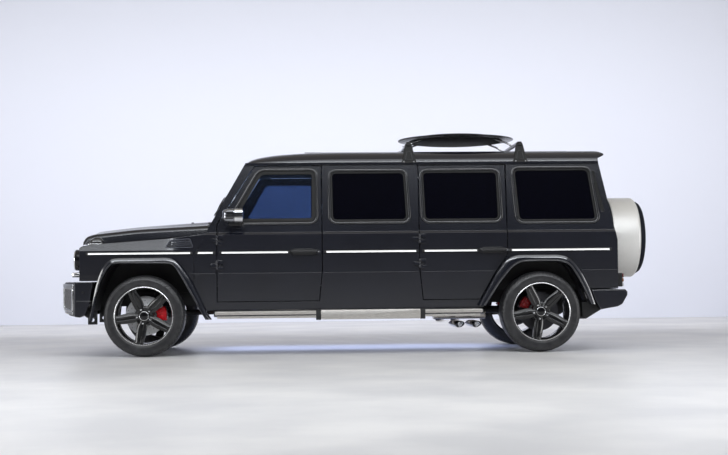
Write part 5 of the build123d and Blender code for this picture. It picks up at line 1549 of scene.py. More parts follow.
rearWindow = rectangle(-0.498, 1.274, 0.498, 1.736, 0.055, 9)
piece("cargo_window_frame", frameBand(rearWindow, 0.026, onTail, -0.01, 0.007, 0.004), paint, (), 50,
    body="cargo_door")
piece("cargo_window_seal", frameBand(rearWindow + inwardNormals(rearWindow) * 0.02, 0.02, onTail, -0.012,
    -0.002), seal, (), 50, body="cargo_door")
piece("cargo_handle", merged(tube(smoothPath(mm([(-2470, 520, 955), (-2505, 520, 965), (-2512, 520, 1010),
    (-2505, 520, 1055), (-2470, 520, 1065)]), 6), 0.011), slab(rectangle(0.485, 0.935, 0.555, 1.085, 0.014,
    5), -2.476, -2.462, liftYZ, 0.004)), smoothPlastic, body="cargo_door")
piece("cargo_lock", solid([(-22, 13), (0, 15)], (-2.474, 0.52, 0.91), "X", 28), chrome, body="cargo_door")
piece("cargo_wiper", merged(tube(onTail(np.linspace(-0.02, 0.3, 12), np.linspace(1.25, 1.33, 12),
    np.full(12, 0.022)), 0.006, 10), tube(onTail(np.linspace(0.06, 0.46, 14), np.linspace(1.36, 1.318, 14),
    np.full(14, 0.012)), 0.0045, 8), solid([(-34, 10), (-28, 18), (0, 20)], (-2.412, -0.02, 1.248), "X", 24)),
    smoothPlastic, body="cargo_door")
plateRecess = rectangle(-0.262, 0.69, 0.262, 0.806, 0.01, 5)
piece("rear_plate_blank", slab(plateRecess, -2.48, -2.468, liftYZ, 0.0015, 2), greyPlastic, body="cargo_door")
piece("rear_plate_holder", frameBand(plateRecess, 0.009, liftYZ, -2.47, -2.483, 0.002, 2), smoothPlastic, (),
    50, body="cargo_door")
piece("plate_lamp", roundBox((-2.496, -0.11, 0.82), (-2.464, 0.11, 0.842), 0.006), smoothPlastic,
    body="cargo_door")
piece("high_brake_lamp", slab(roundedRectangle(0.32, 0.026, 0.01, 5) + (0, 1.773), 0.001, 0.014, onTail,
    0.005), redLens, body="cargo_door")
cargoHinges = []
for z in (0.76, 1.18):
    cargoHinges.append(lathe([(z - 0.045, 0), (z - 0.045, 0.011), (z - 0.015, 0.0125), (z + 0.015, 0.011),
        (z + 0.045, 0.0125), (z + 0.05, 0.008), (z + 0.05, 0)], (-2.467, -0.622, 0), "Z", 24))
piece("cargo_hinge_barrels", merged(*cargoHinges), paint)


# Tail lamps and rear bumper details
tailLamp = {"low": 0.614, "high": 0.746, "inner": 0.642, "outer": 0.816, "face": -2.5145}
pair("tail_lamp_cases", slab(rectangle(tailLamp["inner"], tailLamp["low"], tailLamp["outer"],
    tailLamp["high"], 0.012, 4), -2.5, -2.448, liftYZ, 0.006), smoothPlastic, ["tail_lamps"])
for name, finish, low, high in (("brake", redLens, 0.7, 0.742), ("turn", amberLens, 0.66, 0.697),
        ("reverse", whiteLens, 0.618, 0.657)):
    pair("tail_lamp_" + name, slab(rectangle(tailLamp["inner"] + 0.006, low, tailLamp["outer"] - 0.006, high,
        0.008, 4), tailLamp["face"], -2.494, liftYZ, 0.008, 4), finish)
pair("rear_reflectors", slab(roundedRectangle(0.15, 0.03, 0.01, 5) + (0.7, 0.515), -2.524, -2.5, liftYZ,
    0.004), redLens)
stepRibs = [roundBox((-2.495, y - 0.004, 0.5915), (-2.27, y + 0.004, 0.5955), 0.0015,
    3) for y in np.linspace(-0.56, 0.56, 29)]
piece("rear_step_pad", merged(slab(rectangle(-2.505, -0.6, -2.26, 0.6, 0.02, 5), 0.586, 0.5925, liftXY, 0.002,
    2), *stepRibs), grainPlastic)
print("roof and rear made")


# Coil springs, dampers, propeller shafts and transfer case
coilSettings = {"turns": 4.5, "radius": 0.043, "wire": 0.0068, "low": 0.4385, "high": 0.57}


def coilShape(s, centre):
    # helix about Z whose ends close up flat
    turn = np.linspace(0, 1, 150)
    angle = turn * s["turns"] * 2 * pi
    ease = np.clip((turn - 0.08) / 0.84, 0, 1)
    height = s["low"] + s["wire"] + ease * (s["high"] - s["low"] - 2 * s["wire"])
    path = np.stack([centre[0] + s["radius"] * np.cos(angle), centre[1] + s["radius"] * np.sin(angle),
        height], 1)
    return tube(path, s["wire"], 10)


def damperShape(centre, s):
    return lathe([(s["low"], 0), (s["low"], 0.02), (s["low"] + 0.006, 0.023), (s["low"] + 0.07, 0.023),
        (s["low"] + 0.074, 0.019), (s["low"] + 0.078, 0.011), (s["high"] - 0.012, 0.011),
        (s["high"] - 0.01, 0.02), (s["high"], 0.021), (s["high"], 0)], (centre[0], centre[1], 0), "Z", 32)


coils, dampers = [], []
for place in ("front", "rear"):
    x = wheelCentre(place, "left")[0]
    coils.append(coilShape(coilSettings, (x, 0.49)))
    dampers.append(damperShape((x - 0.105, 0.458), coilSettings))
pair("coil_springs", merged(*coils), axlePaint, ["suspension"])
pair("dampers", merged(*dampers), castIron)
frontX, rearX = wheelCentre("front", "left")[0], wheelCentre("rear", "left")[0]
jointShape = solid([(-30, 44), (-16, 48), (-10, 34), (10, 34), (16, 48), (30, 44)], (0, 0, 0), "X", 32)
shafts = [tube([(0.42, 0.045, 0.42), (rearX + 0.16, 0.06, 0.39)], 0.036, 28),
    tube([(frontX - 0.16, 0.06, 0.39), (0.74, 0.11, 0.42)], 0.028, 28), moved(jointShape, (0.4, 0.045, 0.42)),
    moved(jointShape, (rearX + 0.14, 0.06, 0.39)), moved(jointShape, (frontX - 0.14, 0.06, 0.39)),
    moved(jointShape, (0.76, 0.11, 0.42))]
piece("propeller_shafts", merged(*shafts), axlePaint)
piece("transfer_case", merged(roundBox((0.42, -0.2, 0.38), (0.76, 0.18, 0.56), 0.05, 6),
    roundBox((0.8, -0.15, 0.42), (1.45, 0.15, 0.6), 0.07, 6)), castIron)


# Exhaust: silencer, pipes and two oval tips a side
tipSettings = {"stations": (-1.026, -0.865), "level": 0.272, "wide": 0.046, "tall": 0.027, "tilt": -22,
    "length": 0.2395, "direction": (-0.22, 1, -0.06), "start": 0.636}


def tipShape(x, s):
    # an oval ring carried outward, rolled in at its mouth and closed inside by a wall
    direction = unit(np.array(s["direction"]))
    turn = radians(s["tilt"])
    wide = np.array((cos(turn), 0, sin(turn)))
    tall = np.cross(wide, direction)
    angle = fullTurn(48)
    centre = np.array((x, s["start"], s["level"] + 0.012))
    stations = [(0, 0.8), (0.1, 0.86), (0.3, 1), (0.96, 1), (0.99, 0.985), (1, 0.955), (0.985, 0.925),
        (0.8, 0.91), (0.45, 0.88), (0.45, 0.02)]
    rings = [centre + direction * s["length"] * along + (wide[None] * (s["wide"] * np.cos(angle))[:,
        None] + tall[None] * (s["tall"] * np.sin(angle))[:, None]) * size for along, size in stations]
    return loop(rings)


def ovalDrum(x0, x1, y, z, wide, tall):
    # silencer: a superellipse section along X with rolled seams at both ends
    angle = fullTurn(48)
    c, s = np.cos(angle), np.sin(angle)
    section = np.stack([np.sign(c) * np.abs(c) ** 0.7 * wide, np.sign(s) * np.abs(s) ** 0.7 * tall], 1)
    rings = []
    for along, size in ((0, 0.9), (0, 0.97), (0.008, 1), (0.02, 1), (0.024, 0.97), (0.5, 0.97), (0.976, 0.97),
            (0.98, 1), (0.992, 1), (1, 0.97), (1, 0.9)):
        rings.append(atX(x0 + (x1 - x0) * along, section * size + (y, z)))
    return loop(rings)


pair("exhaust_tips", merged(*[tipShape(x, tipSettings) for x in tipSettings["stations"]]), chrome,
    ["exhausts"], 60)
pair("silencers", merged(ovalDrum(-1.195, -0.695, 0.52, 0.358, 0.105, 0.046),
    tube(smoothPath(mm([(-700, 500, 375), (-550, 470, 380), (-350, 350, 390), (200, 270, 410),
    (900, 250, 430), (1400, 260, 480)])), 0.028, 20)), exhaustSteel)


# Running boards: a folded tray on brackets, a bright tread strip and a plain step plate
boardSettings = {"front": 1.415, "rear": -1.135, "inner": 0.7, "outer": 0.925, "low": 0.368, "high": 0.42}


def boardShape(s):
    # a rounded channel section carried along X, its front end cut back under the flare
    section = roundOutline([(s["inner"], s["low"] + 0.01), (0.88, s["low"]),
        (s["outer"] - 0.002, s["low"] + 0.006), (s["outer"] - 0.001, s["high"] - 0.012), (0.905, s["high"]),
        (s["inner"], s["high"] - 0.004)], 0.01, 5)
    return loop([atX(x, section) for x in (s["rear"], 0.1, s["front"])])


def onBoard(u, v, depth):
    return np.stack([u, v, boardSettings["high"] + depth], 1)


board = boardShape(boardSettings)
tread = slab(rectangle(-1.11, 0.735, 1.39, 0.905, 0.02, 5), -0.004, 0.0035, onBoard, 0.001, 1)
edge = merged(slab(rectangle(-1.125, 0.385, 1.405, 0.4185, 0.008, 4), 0.9, 0.9262, liftXZ, 0.004),
    slab(rectangle(-1.105, 0.352, 1.385, 0.378, 0.006, 4), 0.88, 0.918, liftXZ, 0.004))
drop = slab(rectangle(-0.534, 0.335, 0.407, 0.425, 0.006, 4), 0.89, 0.93, liftXZ, 0.005)
pair("running_boards_look", board, paint, ["running_boards"])
pair("board_edges", edge, stainless)
pair("board_treads", merged(tread, merged(*[roundBox((-1.08, y - 0.0035, 0.4225), (1.36, y + 0.0035, 0.4268),
    0.0012, 3) for y in np.linspace(0.755, 0.885, 9)])), rubber)
frontGuard = [(2.668, 0.45), (2.662, 0.405), (2.622, 0.372), (2.58, 0.364), (2.557, 0.385), (2.557, 0.45)]
rearGuard = [(-2.102, 0.47), (-2.106, 0.33), (-2.14, 0.305), (-2.3, 0.4), (-2.31, 0.47)]
pair("lower_guards", merged(*[slab(roundOutline(outline, 0.018, 5), 0.56, 0.79, liftXZ, 0.008,
    4) for outline in (frontGuard, rearGuard)]), grainPlastic)
pair("step_plates", drop, stainless)
pair("step_ends", merged(*[slab(rectangle(x - 0.024, 0.331, x + 0.024, 0.427, 0.006, 4), 0.86, 0.9285, liftXZ,
    0.004) for x in (-0.556, 0.431)]), grainPlastic)
pair("board_brackets", merged(*[slab(roundOutline(mm([(420, 470), (420, 500), (760, 420), (860, 400),
    (860, 372), (740, 372)]), 0.012, 4), x - 0.02, x + 0.02, liftYZ, 0.004, 2) for x in (1.2, 0.58, -0.08,
    -0.66)]), chassisPaint)
print("underside made")


# Door mirrors: a two part shell, slatted ahead and bright behind, on a black foot
mirrorSettings = {"rear": 1.133, "front": 1.327, "split": 1.212, "low": 1.256, "high": 1.388, "inner": 0.838,
    "outer": 1.0175}


def mirrorShell(x0, x1, s, crown):
    # rings along X: rounded rectangles that shrink towards the nose as an ellipse
    share = np.linspace(0, 1, 12)
    size = np.clip(1 - (share * crown) ** 4, 0.02, 1) ** 0.4
    middle = np.array([(s["inner"] + s["outer"]) / 2, (s["low"] + s["high"]) / 2])
    outline = roundedRectangle(s["outer"] - s["inner"], s["high"] - s["low"], 0.044, 8)
    rings = [atX(x0 + (x1 - x0) * t, middle + outline * k) for t, k in zip(share, size)]
    return loop(rings)


shell = mirrorShell(mirrorSettings["rear"] + 0.004, mirrorSettings["split"], mirrorSettings, 0.35)
nose = mirrorShell(mirrorSettings["split"] + 0.004, mirrorSettings["front"], mirrorSettings, 0.93)
glassPane = slab(roundedRectangle(0.162, 0.098, 0.022, 8) + (0.9285, 1.3228), 1.1345, 1.1385, liftYZ, 0.001,
    1)
slats = merged(*[loop([atX(x, o + (0.9285, z)) for x, o in ((1.222, roundedRectangle(0.1795, 0.012, 0.003,
    3)), (1.275, roundedRectangle(0.178, 0.012, 0.003, 3)), (1.302, roundedRectangle(0.165, 0.011, 0.003,
    3)))]) for z in (1.293, 1.323, 1.353)])
foot = merged(roundBox((1.15, 0.822, 1.226), (1.268, 0.93, 1.262), 0.012, 5),
    roundBox((1.168, 0.805, 1.232), (1.25, 0.85, 1.3), 0.012, 5))
joint = solid([(1252, 30), (1266, 30), (1272, 24)], (1.205, 0.9, 0), "Z", 36)
# the nose takes the darker copy of the chrome: painted shade
mirrorParts = {"shell": (shell, chrome), "nose": (nose, shadedChrome), "slats": (slats, smoothPlastic),
    "glass": (glassPane, chrome), "foot": (merged(foot, joint), smoothPlastic)}
for side, sign in sides.items():
    for name, (shape, finish) in mirrorParts.items():
        piece("mirror_" + name + "_" + side, shape if sign > 0 else mirrored(shape), finish,
            ["mirror_" + side] if name == "shell" else [], body="front_door_" + side)
print("mirrors made")
# Seats. Every pad is drawn about its own centre: a runs up or forward, b across, c through its thickness
seatSettings = {"front": {"places": [(0.965, 0.38), (0.965, -0.38)], "width": 0.5, "back": 0.45,
    "insert": [0.16], "rests": [0], "restSize": (0.135, 0.25, 0.07), "voxel": 0.012},
    "bench": {"places": [(-0.185, 0), (-1.085, 0)], "width": 1.07, "back": 0.405, "insert": [0.18, 0.47],
    "rests": [-0.345, 0, 0.345], "restSize": (0.11, 0.23, 0.065), "voxel": 0.016},
    "cushion": {"length": 0.44, "thick": 0.095, "pitch": 0.075}, "backThick": 0.085, "cap": 0.022,
    "lean": 12.7, "tilt": -2.5}


def swollen(item, cap):
    # cloth filled from inside, with no weight; each point moves no further than the cap
    before = np.array([point.co for point in item.data.vertices])
    cloth = item.modifiers.new("filling", "CLOTH").settings
    cloth.use_pressure = True
    cloth.uniform_pressure_force = 4
    cloth.effector_weights.gravity = 0
    cloth.quality = 4
    for step in range(1, 21):
        bpy.context.scene.frame_set(step)
    result = bpy.data.meshes.new_from_object(item.evaluated_get(bpy.context.evaluated_depsgraph_get()))
    after = np.array([point.co for point in result.vertices])
    bpy.context.scene.frame_set(1)
    move = after - before
    reach = np.linalg.norm(move, axis=1)[:, None]
    return before + move * np.minimum(1, cap / (reach + 1e-9))


def padMesh(size, voxel, bolster, seams, pitch, cap):
    # a rounded block of even cells, raised at its sides, swollen, smoothed and sewn: along each seam the
    # face sinks by a bell curve, and between the outer seams it sinks again at every pitch
    size = np.array(size)
    item = makeMesh("pad_work", *roundBox(-size / 2, size / 2, 0.46 * size[2], 6), leather)
    cells = item.modifiers.new("cells", "REMESH")
    cells.mode = "VOXEL"
    cells.voxel_size = voxel
    graph = bpy.context.evaluated_depsgraph_get()
    item.data = bpy.data.meshes.new_from_object(item.evaluated_get(graph))
    item.modifiers.clear()
    points = np.array([point.co for point in item.data.vertices])
    rise = np.clip((np.abs(points[:, 1]) - seams[-1]) / 0.05, 0, 1) if seams else 0
    points[:, 2] += bolster * rise * (points[:, 2] > 0)
    item.data.vertices.foreach_set("co", points.ravel())
    item.data.vertices.foreach_set("co", swollen(item, cap).ravel())
    item.modifiers.clear()
    finer = item.modifiers.new("finer", "SUBSURF")
    finer.levels = finer.render_levels = 1
    mesh = bpy.data.meshes.new_from_object(item.evaluated_get(bpy.context.evaluated_depsgraph_get()))
    bpy.data.objects.remove(item)
    points = np.array([point.co for point in mesh.vertices])
    facing = np.clip(np.array([point.normal[2] for point in mesh.vertices]) * 2 - 0.3, 0, 1)
    sink = np.zeros(len(points))
    for seam in seams:
        sink = np.maximum(sink, 0.01 * np.exp(-((np.abs(points[:, 1]) - seam) / 0.009) ** 2))
    if pitch:
        across = np.clip((seams[-1] - np.abs(points[:, 1])) / 0.012, 0, 1)
        wave = (points[:, 0] + pitch / 2) % pitch - pitch / 2
        sink = np.maximum(sink, 0.008 * across * np.exp(-(wave / 0.008) ** 2))
    points[:, 2] -= sink * facing
    return points, [list(face.vertices) for face in mesh.polygons]


def seamTubes(shape, seams, length):
    # piping that lies in the seams: a tube through the points straight above them on the pad
    tree = BVHTree.FromPolygons(shape[0].tolist(), shape[1])
    tubes = []
    for seam in seams:
        for b in (-seam, seam):
            path = [tree.ray_cast(Vector((a, b, 0.5)), Vector((0, 0, -1)))[0] for a in np.linspace(-length,
                length, 26)]
            tubes.append(tube([tuple(spot) for spot in path if spot], 0.0024, 6))
    return merged(*tubes)


def stood(shape, middle, lean):
    # turn a pad from lying flat, with c up, to leaning back by an angle from upright, with c forward
    angle = radians(lean)
    upward = np.array((-sin(angle), 0, cos(angle)))
    forward = np.array((cos(angle), 0, sin(angle)))
    axes = np.stack([upward, (0, -1, 0), forward])
    return shape[0] @ axes + np.asarray(middle), shape[1]


def padPiece(name, shape, stands=()):
    item = piece(name, shape, leather, stands, 60)


def makeSeats(s):
    # cushion, back and head rests for each seat, with piping, posts, a plinth and a rear shell
    piping, posts, plinths, shells, first = [], [], [], [], True
    lean = s["lean"]
    for kind in ("front", "bench"):
        k, c = s[kind], s["cushion"]
        cushion = padMesh((c["length"], k["width"], c["thick"]), k["voxel"], 0.022, k["insert"], c["pitch"],
            s["cap"])
        back = padMesh((k["back"], k["width"] - 0.02, s["backThick"]), k["voxel"], 0.02, k["insert"],
            c["pitch"], s["cap"])
        rest = padMesh(k["restSize"], 0.011, 0, [], 0, 0.012)
        cushionPiping = seamTubes(cushion, k["insert"], c["length"] / 2 - 0.025)
        backPiping = seamTubes(back, k["insert"], k["back"] / 2 - 0.025)
        half = k["width"] / 2
        for number, (x, y) in enumerate(k["places"]):
            label = "%s_seat_%d_" % (kind, number + 1) if kind == "front" else "bench_%d_" % (number + 1)
            lying = (x - 0.232, y, 0.878)
            along = np.array((-sin(radians(lean)), 0, cos(radians(lean))))
            foot = np.array((x - 0.5, y, 0.905))
            middle = foot + along * (k["back"] / 2 + 0.015)
            padPiece(label + "cushion", moved(turned(cushion, (0, 1, 0), s["tilt"]), lying),
                ["seats"] if first else [])
            padPiece(label + "back", stood(back, middle, lean))
            first = False
            piping += [moved(turned(cushionPiping, (0, 1, 0), s["tilt"]), lying),
                stood(backPiping, middle, lean)]
            for b in k["rests"]:
                top = foot + along * (k["back"] + 0.04 + k["restSize"][0] / 2) + (0, b, 0)
                padPiece(label + "headrest_%d" % (k["rests"].index(b) + 1), stood(rest, top, lean))
                for step in (-0.055, 0.055):
                    posts.append(tube([foot + along * (k["back"] - 0.02) + (0, b + step, 0),
                        top + (0, step, 0)], 0.006, 12))
            plinths.append(roundBox((x - 0.43, y - half + 0.03, 0.653), (x - 0.05, y + half - 0.03, 0.85),
                0.02))
            plinths.append(roundBox((x - 0.5, y - half + 0.004, 0.8), (x - 0.06, y - half + 0.03, 0.872),
                0.012))
            plinths.append(roundBox((x - 0.5, y + half - 0.03, 0.8), (x - 0.06, y + half - 0.004, 0.872),
                0.012))
            panel = slab(roundedRectangle(k["back"] - 0.02, k["width"] - 0.06, 0.05, 8), -0.062, -0.045,
                liftXY, 0.006)
            shells.append(stood(panel, middle, lean))
            for side in (-1, 1):
                shells.append(solid([(-12, 34), (-6, 40), (6, 40), (12, 34)],
                    (x - 0.5, y + side * (half - 0.012), 0.89), "Y", 28))
    piece("seat_piping", merged(*piping), stitch, (), 60)
    piece("headrest_posts", merged(*posts), satinChrome)
    piece("seat_plinths", merged(*plinths), grainPlastic)
    piece("seat_shells", merged(*shells), grainPlastic)


makeSeats(seatSettings)
print("seats made")


# Dashboard: a rounded section from wall to wall, with hood, screen, vents, dials and a grab handle
dashSettings = {"half": 0.698, "hoodAcross": 0.38, "vents": (-0.6, -0.17, 0.17, 0.62), "ventLevel": 1.085,
    "dials": (0.295, 0.465), "dialLevel": 1.163}


def onDash(u, v, depth):
    # u across, v height on the upright face, depth out towards the seats
    return np.stack([1.145 + 0.118 * (1.15 - v) - depth, u, v], 1)


dashBody = slab(roundOutline(mm([(1442, 1000), (1442, 1114), (1371, 1116), (1371, 1190), (1225, 1197),
    (1148, 1150), (1168, 980), (1325, 892)]), (0.01, 0.01, 0.01, 0.02, 0.05, 0.05, 0.06, 0.05), 8),
    -dashSettings["half"], dashSettings["half"], liftXZ, 0.008)
hoodOutline = np.array([(0.205 * cos(a), 1.12 + 0.118 * sin(a) ** 0.75) for a in np.linspace(0.02, pi - 0.02,
    26)] + [(-0.205, 1.1), (0.205, 1.1)])
hoodInner = hoodOutline + inwardNormals(hoodOutline) * 0.013
piece("dash_look", dashBody, dashPlastic, ["dashboard"], 50)
piece("dash_hood", frameBand(hoodInner + (dashSettings["hoodAcross"], 0), 0.013, liftYZ, 1.132, 1.2, 0, 1),
    dashPlastic, (), 40)
piece("dial_plate", slab(hoodInner + (dashSettings["hoodAcross"], 0), 1.15, 1.158, liftYZ, 0.001, 1),
    smoothPlastic)
dials = [lathe(mm([(1150, 44.5), (1144, 44.5), (1142.5, 42.5), (1144, 40.5), (1150, 40.5)]),
    (0, across, dashSettings["dialLevel"]), "X", 48, True) for across in dashSettings["dials"]]
tick = roundBox((1.1475, -0.0012, 0.03), (1.15, 0.0012, 0.0385), 0.0005, 2)
ticks = [moved(ringOf(tick, 12, (1, 0, 0), 15),
    (0, across, dashSettings["dialLevel"])) for across in dashSettings["dials"]]
piece("dial_rings", merged(*dials), satinChrome)
piece("dial_ticks", merged(*ticks), whiteLens)
piece("screen_case", slab(roundedRectangle(0.27, 0.14, 0.014, 5) + (0, 1.2), 1.178, 1.196, liftYZ, 0.005),
    smoothPlastic)
piece("screen_face", slab(roundedRectangle(0.248, 0.118, 0.008, 5) + (0, 1.2), 1.1765, 1.18, liftYZ, 0.001,
    1), glossBlack)
ventRims, ventFins = [], []
for across in dashSettings["vents"]:
    outline = roundedRectangle(0.12, 0.062, 0.014, 5) + (across, dashSettings["ventLevel"])
    ventRims.append(frameBand(outline, 0.007, onDash, -0.004, 0.007, 0.002, 2))
    ventFins += [slab(roundedRectangle(0.112, 0.004, 0.0015, 2) + (across, dashSettings["ventLevel"] + step),
        0, 0.005, onDash, 0.001, 1) for step in (-0.018, -0.009, 0, 0.009, 0.018)]
piece("dash_vent_rims", merged(*ventRims), satinChrome, (), 50)
piece("dash_vent_fins", merged(*ventFins), smoothPlastic)
buttons = [slab(roundedRectangle(0.03, 0.016, 0.004, 3) + (y, z), 0.008, 0.0145, onDash, 0.002,
    2) for y in np.linspace(-0.12, 0.12, 7) for z in (1.022, 0.998)]
knobs = [solid([(0, 19), (-16, 17.5), (-20, 15)], onDash(np.array([y]), np.array([0.962]),
    np.array([0.008]))[0], "X", 32) for y in (-0.095, 0, 0.095)]
piece("centre_stack", slab(rectangle(-0.15, 0.93, 0.15, 1.042, 0.014, 5), -0.004, 0.01, onDash, 0.004),
    glossBlack)
piece("stack_buttons", merged(*buttons, *knobs), satinChrome)
piece("glove_box_gap", frameBand(roundedRectangle(0.4, 0.13, 0.02) + (-0.42, 0.985), 0.004, onDash, -0.004,
    0.0022, 0.001, 1), seal)
piece("grab_handle", tube(smoothPath(mm([(1152, -600, 1168), (1112, -585, 1176), (1105, -420, 1178),
    (1112, -255, 1176), (1152, -240, 1168)])), 0.013), leather, (), 60)

# steering wheel, drawn facing along -X about its hub and then tilted back
steering = {"hub": (1.005, 0.38, 1.13), "tilt": 26.05, "radius": 0.1745, "grip": 0.0145}
turn = np.linspace(0, 2 * pi, 97)[:-1]
rimPath = np.stack([np.full(96, -0.012), steering["radius"] * np.cos(turn),
    steering["radius"] * np.sin(turn)], 1)
rimRings = [rimPath + steering["grip"] * (np.stack([0 * turn, np.cos(turn), np.sin(turn)],
    1) * cos(a) + np.array((0.85, 0, 0)) * sin(a)) for a in np.linspace(0, 2 * pi, 18)[:-1]]
rimTube = (np.concatenate(rimRings), gridFaces(17, 96, True, True))


def spokeSlab(degrees, width, low, high):
    # flat spoke from the hub out to the rim, its outline widening towards the hub
    outline = roundOutline([(0.04, -width * 0.75), (0.168, -width / 2), (0.168, width / 2),
        (0.04, width * 0.75)], 0.008, 4)
    return turned(slab(outline, low, high, liftYZ, 0.004), (1, 0, 0), degrees)


stalks = [tube([(0.045, 0.02 * sign, 0.01), (0.05, 0.11 * sign, 0.03), (0.046, 0.15 * sign, 0.034)],
    [0.006, 0.007, 0.009], 12) for sign in (-1, 1)]


def atColumn(shape):
    return moved(turned(shape, (0, 1, 0), steering["tilt"]), steering["hub"])


piece("steering_rim", atColumn(rimTube), leather, ["steering_wheel"], 60)
piece("steering_hub", atColumn(merged(slab(roundOutline(mm([(-70, 45), (70, 45), (58, -58), (-58, -58)]),
    0.026, 7), -0.036, -0.004, liftYZ, 0.012, 5), spokeSlab(0, 0.04, -0.02, -0.006),
    spokeSlab(180, 0.04, -0.02, -0.006))), grainPlastic)
piece("steering_inlay", atColumn(merged(spokeSlab(270, 0.034, -0.019, -0.008),
    moved(spokeSlab(0, 0.022, -0.004, 0), (-0.0195, 0, 0)), moved(spokeSlab(180, 0.022, -0.004, 0),
    (-0.0195, 0, 0)))), satinChrome)
piece("steering_column", atColumn(merged(solid([(0, 40), (20, 36), (60, 33), (185, 30)], (0, 0, 0), "X", 36),
    *stalks)), smoothPlastic)

# console, lever, pedals and mats
cup = lathe(mm([(818, 40), (824, 42.5), (828, 40), (824, 37.5)]), (0.895, 0, 0), "Z", 40, True)
piece("console", slab(roundOutline(mm([(470, 653), (1180, 653), (1180, 930), (1080, 870), (840, 800),
    (830, 885), (480, 885)]), (0.01, 0.01, 0.02, 0.05, 0.03, 0.03, 0.03)), -0.11, 0.11, liftXZ, 0.014, 4),
    dashPlastic, (), 50)
piece("gear_lever", merged(tube(smoothPath(mm([(960, 0, 830), (955, 0, 900), (945, 0, 945)]), 5), 0.008, 12),
    cup), satinChrome)
piece("gear_knob", solid([(-34, 12), (-12, 21), (12, 24), (26, 19), (32, 8)], (0.943, 0, 0.965), "Z", 28),
    leather)
pedals = []
for y, tall in ((0.3, 0.052), (0.42, 0.11)):
    pedals.append(turned(roundBox((1.352, y - 0.034, 0.74 - tall / 2), (1.362, y + 0.034, 0.74 + tall / 2),
        0.004), (0, 1, 0), 18, (1.357, y, 0.74)))
    pedals.append(tube([(1.362, y, 0.745), (1.4, y, 0.86), (1.44, y, 0.9)], 0.008, 10))
piece("pedals", merged(*pedals), axlePaint)
mats = [slab(rectangle(x0, y - 0.23, x1, y + 0.23, 0.04), 0.6505, 0.661, liftXY,
    0.004) for x0, x1 in ((0.99, 1.34), (-0.14, 0.38), (-1.06, -0.73)) for y in (-0.4, 0.4)]
piece("floor_mats", merged(*mats), carpet)


# Linings: door cards, side panels, roof lining, visors and the inner mirror
def onInner(u, v, depth):
    # u along the vehicle, v up, depth into the cabin from the inner face of the wall
    return np.stack([u, skinY(v) - 0.085 - depth, v], 1)


def cardShapes(corners, rest):
    # a lining with a raised upper roll, an armrest shelf and a pocket; rest is (x0, x1) of the armrest
    outline = roundOutline(corners, 0.05)
    roll = slab(rectangle(corners[0][0] + 0.02, 1.035, corners[1][0] - 0.02, 1.125, 0.025), 0.004, 0.02,
        onInner, 0.01, 4)
    x0, x1 = rest
    pull = tube(onInner(np.linspace(x1 - 0.16, x1 - 0.05, 7), np.full(7, 0.995),
        0.01 + 0.03 * np.sin(np.linspace(0, pi, 7))), 0.007, 10)
    return merged(slab(outline, -0.002, 0.008, onInner, 0.004), slab(rectangle(x0, 0.905, x1, 0.955, 0.018,
        5), 0.004, 0.055, onInner, 0.014, 4), slab(roundOutline([(x0, 0.64), (x1, 0.64), (x1 - 0.03, 0.74),
        (x0 + 0.03, 0.74)], 0.02, 5), 0.004, 0.03, onInner, 0.01, 4)), roll, pull


cards = {"front_door": ([(0.47, 0.57), (1.31, 0.57), (1.31, 1.128), (0.47, 1.128)], (0.56, 1.08)),
    "rear_door": ([(-1.12, 0.59), (-0.62, 0.59), (-0.62, 1.128), (-1.33, 1.128), (-1.33, 0.99)],
    (-1.08, -0.68)), "body": ([(-0.43, 0.665), (0.29, 0.665), (0.29, 1.128), (-0.43, 1.128)], (-0.36, 0.2))}
for owner, (corners, rest) in cards.items():
    card, roll, pull = cardShapes(corners, rest)
    sidePiece("lining_card_" + owner, card, dashPlastic, owner)
    sidePiece("lining_roll_" + owner, roll, grainPlastic, owner)
    sidePiece("lining_pull_" + owner, pull, satinChrome, owner, 60)
liningOutline = roundOutline([(1.08, -0.69), (1.08, 0.69), (-2.24, 0.69), (-2.24, -0.69)], 0.06)
piece("roof_lining", slab(liningOutline, 1.798, 1.8195, liftXY, 0.008, 4), headlining)
visors = [slab(roundedRectangle(0.14, 0.4, 0.03) + (0.985, y), 1.782, 1.7965, liftXY, 0.006) for y in (-0.38,
    0.38)]
lamps = [slab(roundedRectangle(0.08, 0.13, 0.014, 5) + (x, 0), 1.788, 1.799, liftXY, 0.004) for x in (0.86,
    -0.55, -1.7)]
piece("sun_visors", merged(*visors), headlining)
piece("cabin_lamps", merged(*lamps), whiteLens)
piece("inner_mirror", merged(slab(roundedRectangle(0.25, 0.066, 0.026, 7) + (0, 1.69), 1.128, 1.146, liftYZ,
    0.006), tube([(1.14, 0, 1.7), (1.165, 0, 1.725), (1.172, 0, 1.738)], 0.008, 12)), smoothPlastic)
piece("inner_mirror_glass", slab(roundedRectangle(0.236, 0.052, 0.02, 7) + (0, 1.69), 1.1265, 1.129, liftYZ,
    0.001, 1), chrome)
print("cabin made")


# Camera, floor and light
cameraPlace = {"spot": (0.557, 13.212, 0.709), "yaw": 2.627, "pitch": 2.286, "roll": -0.608, "lens": 64.24}


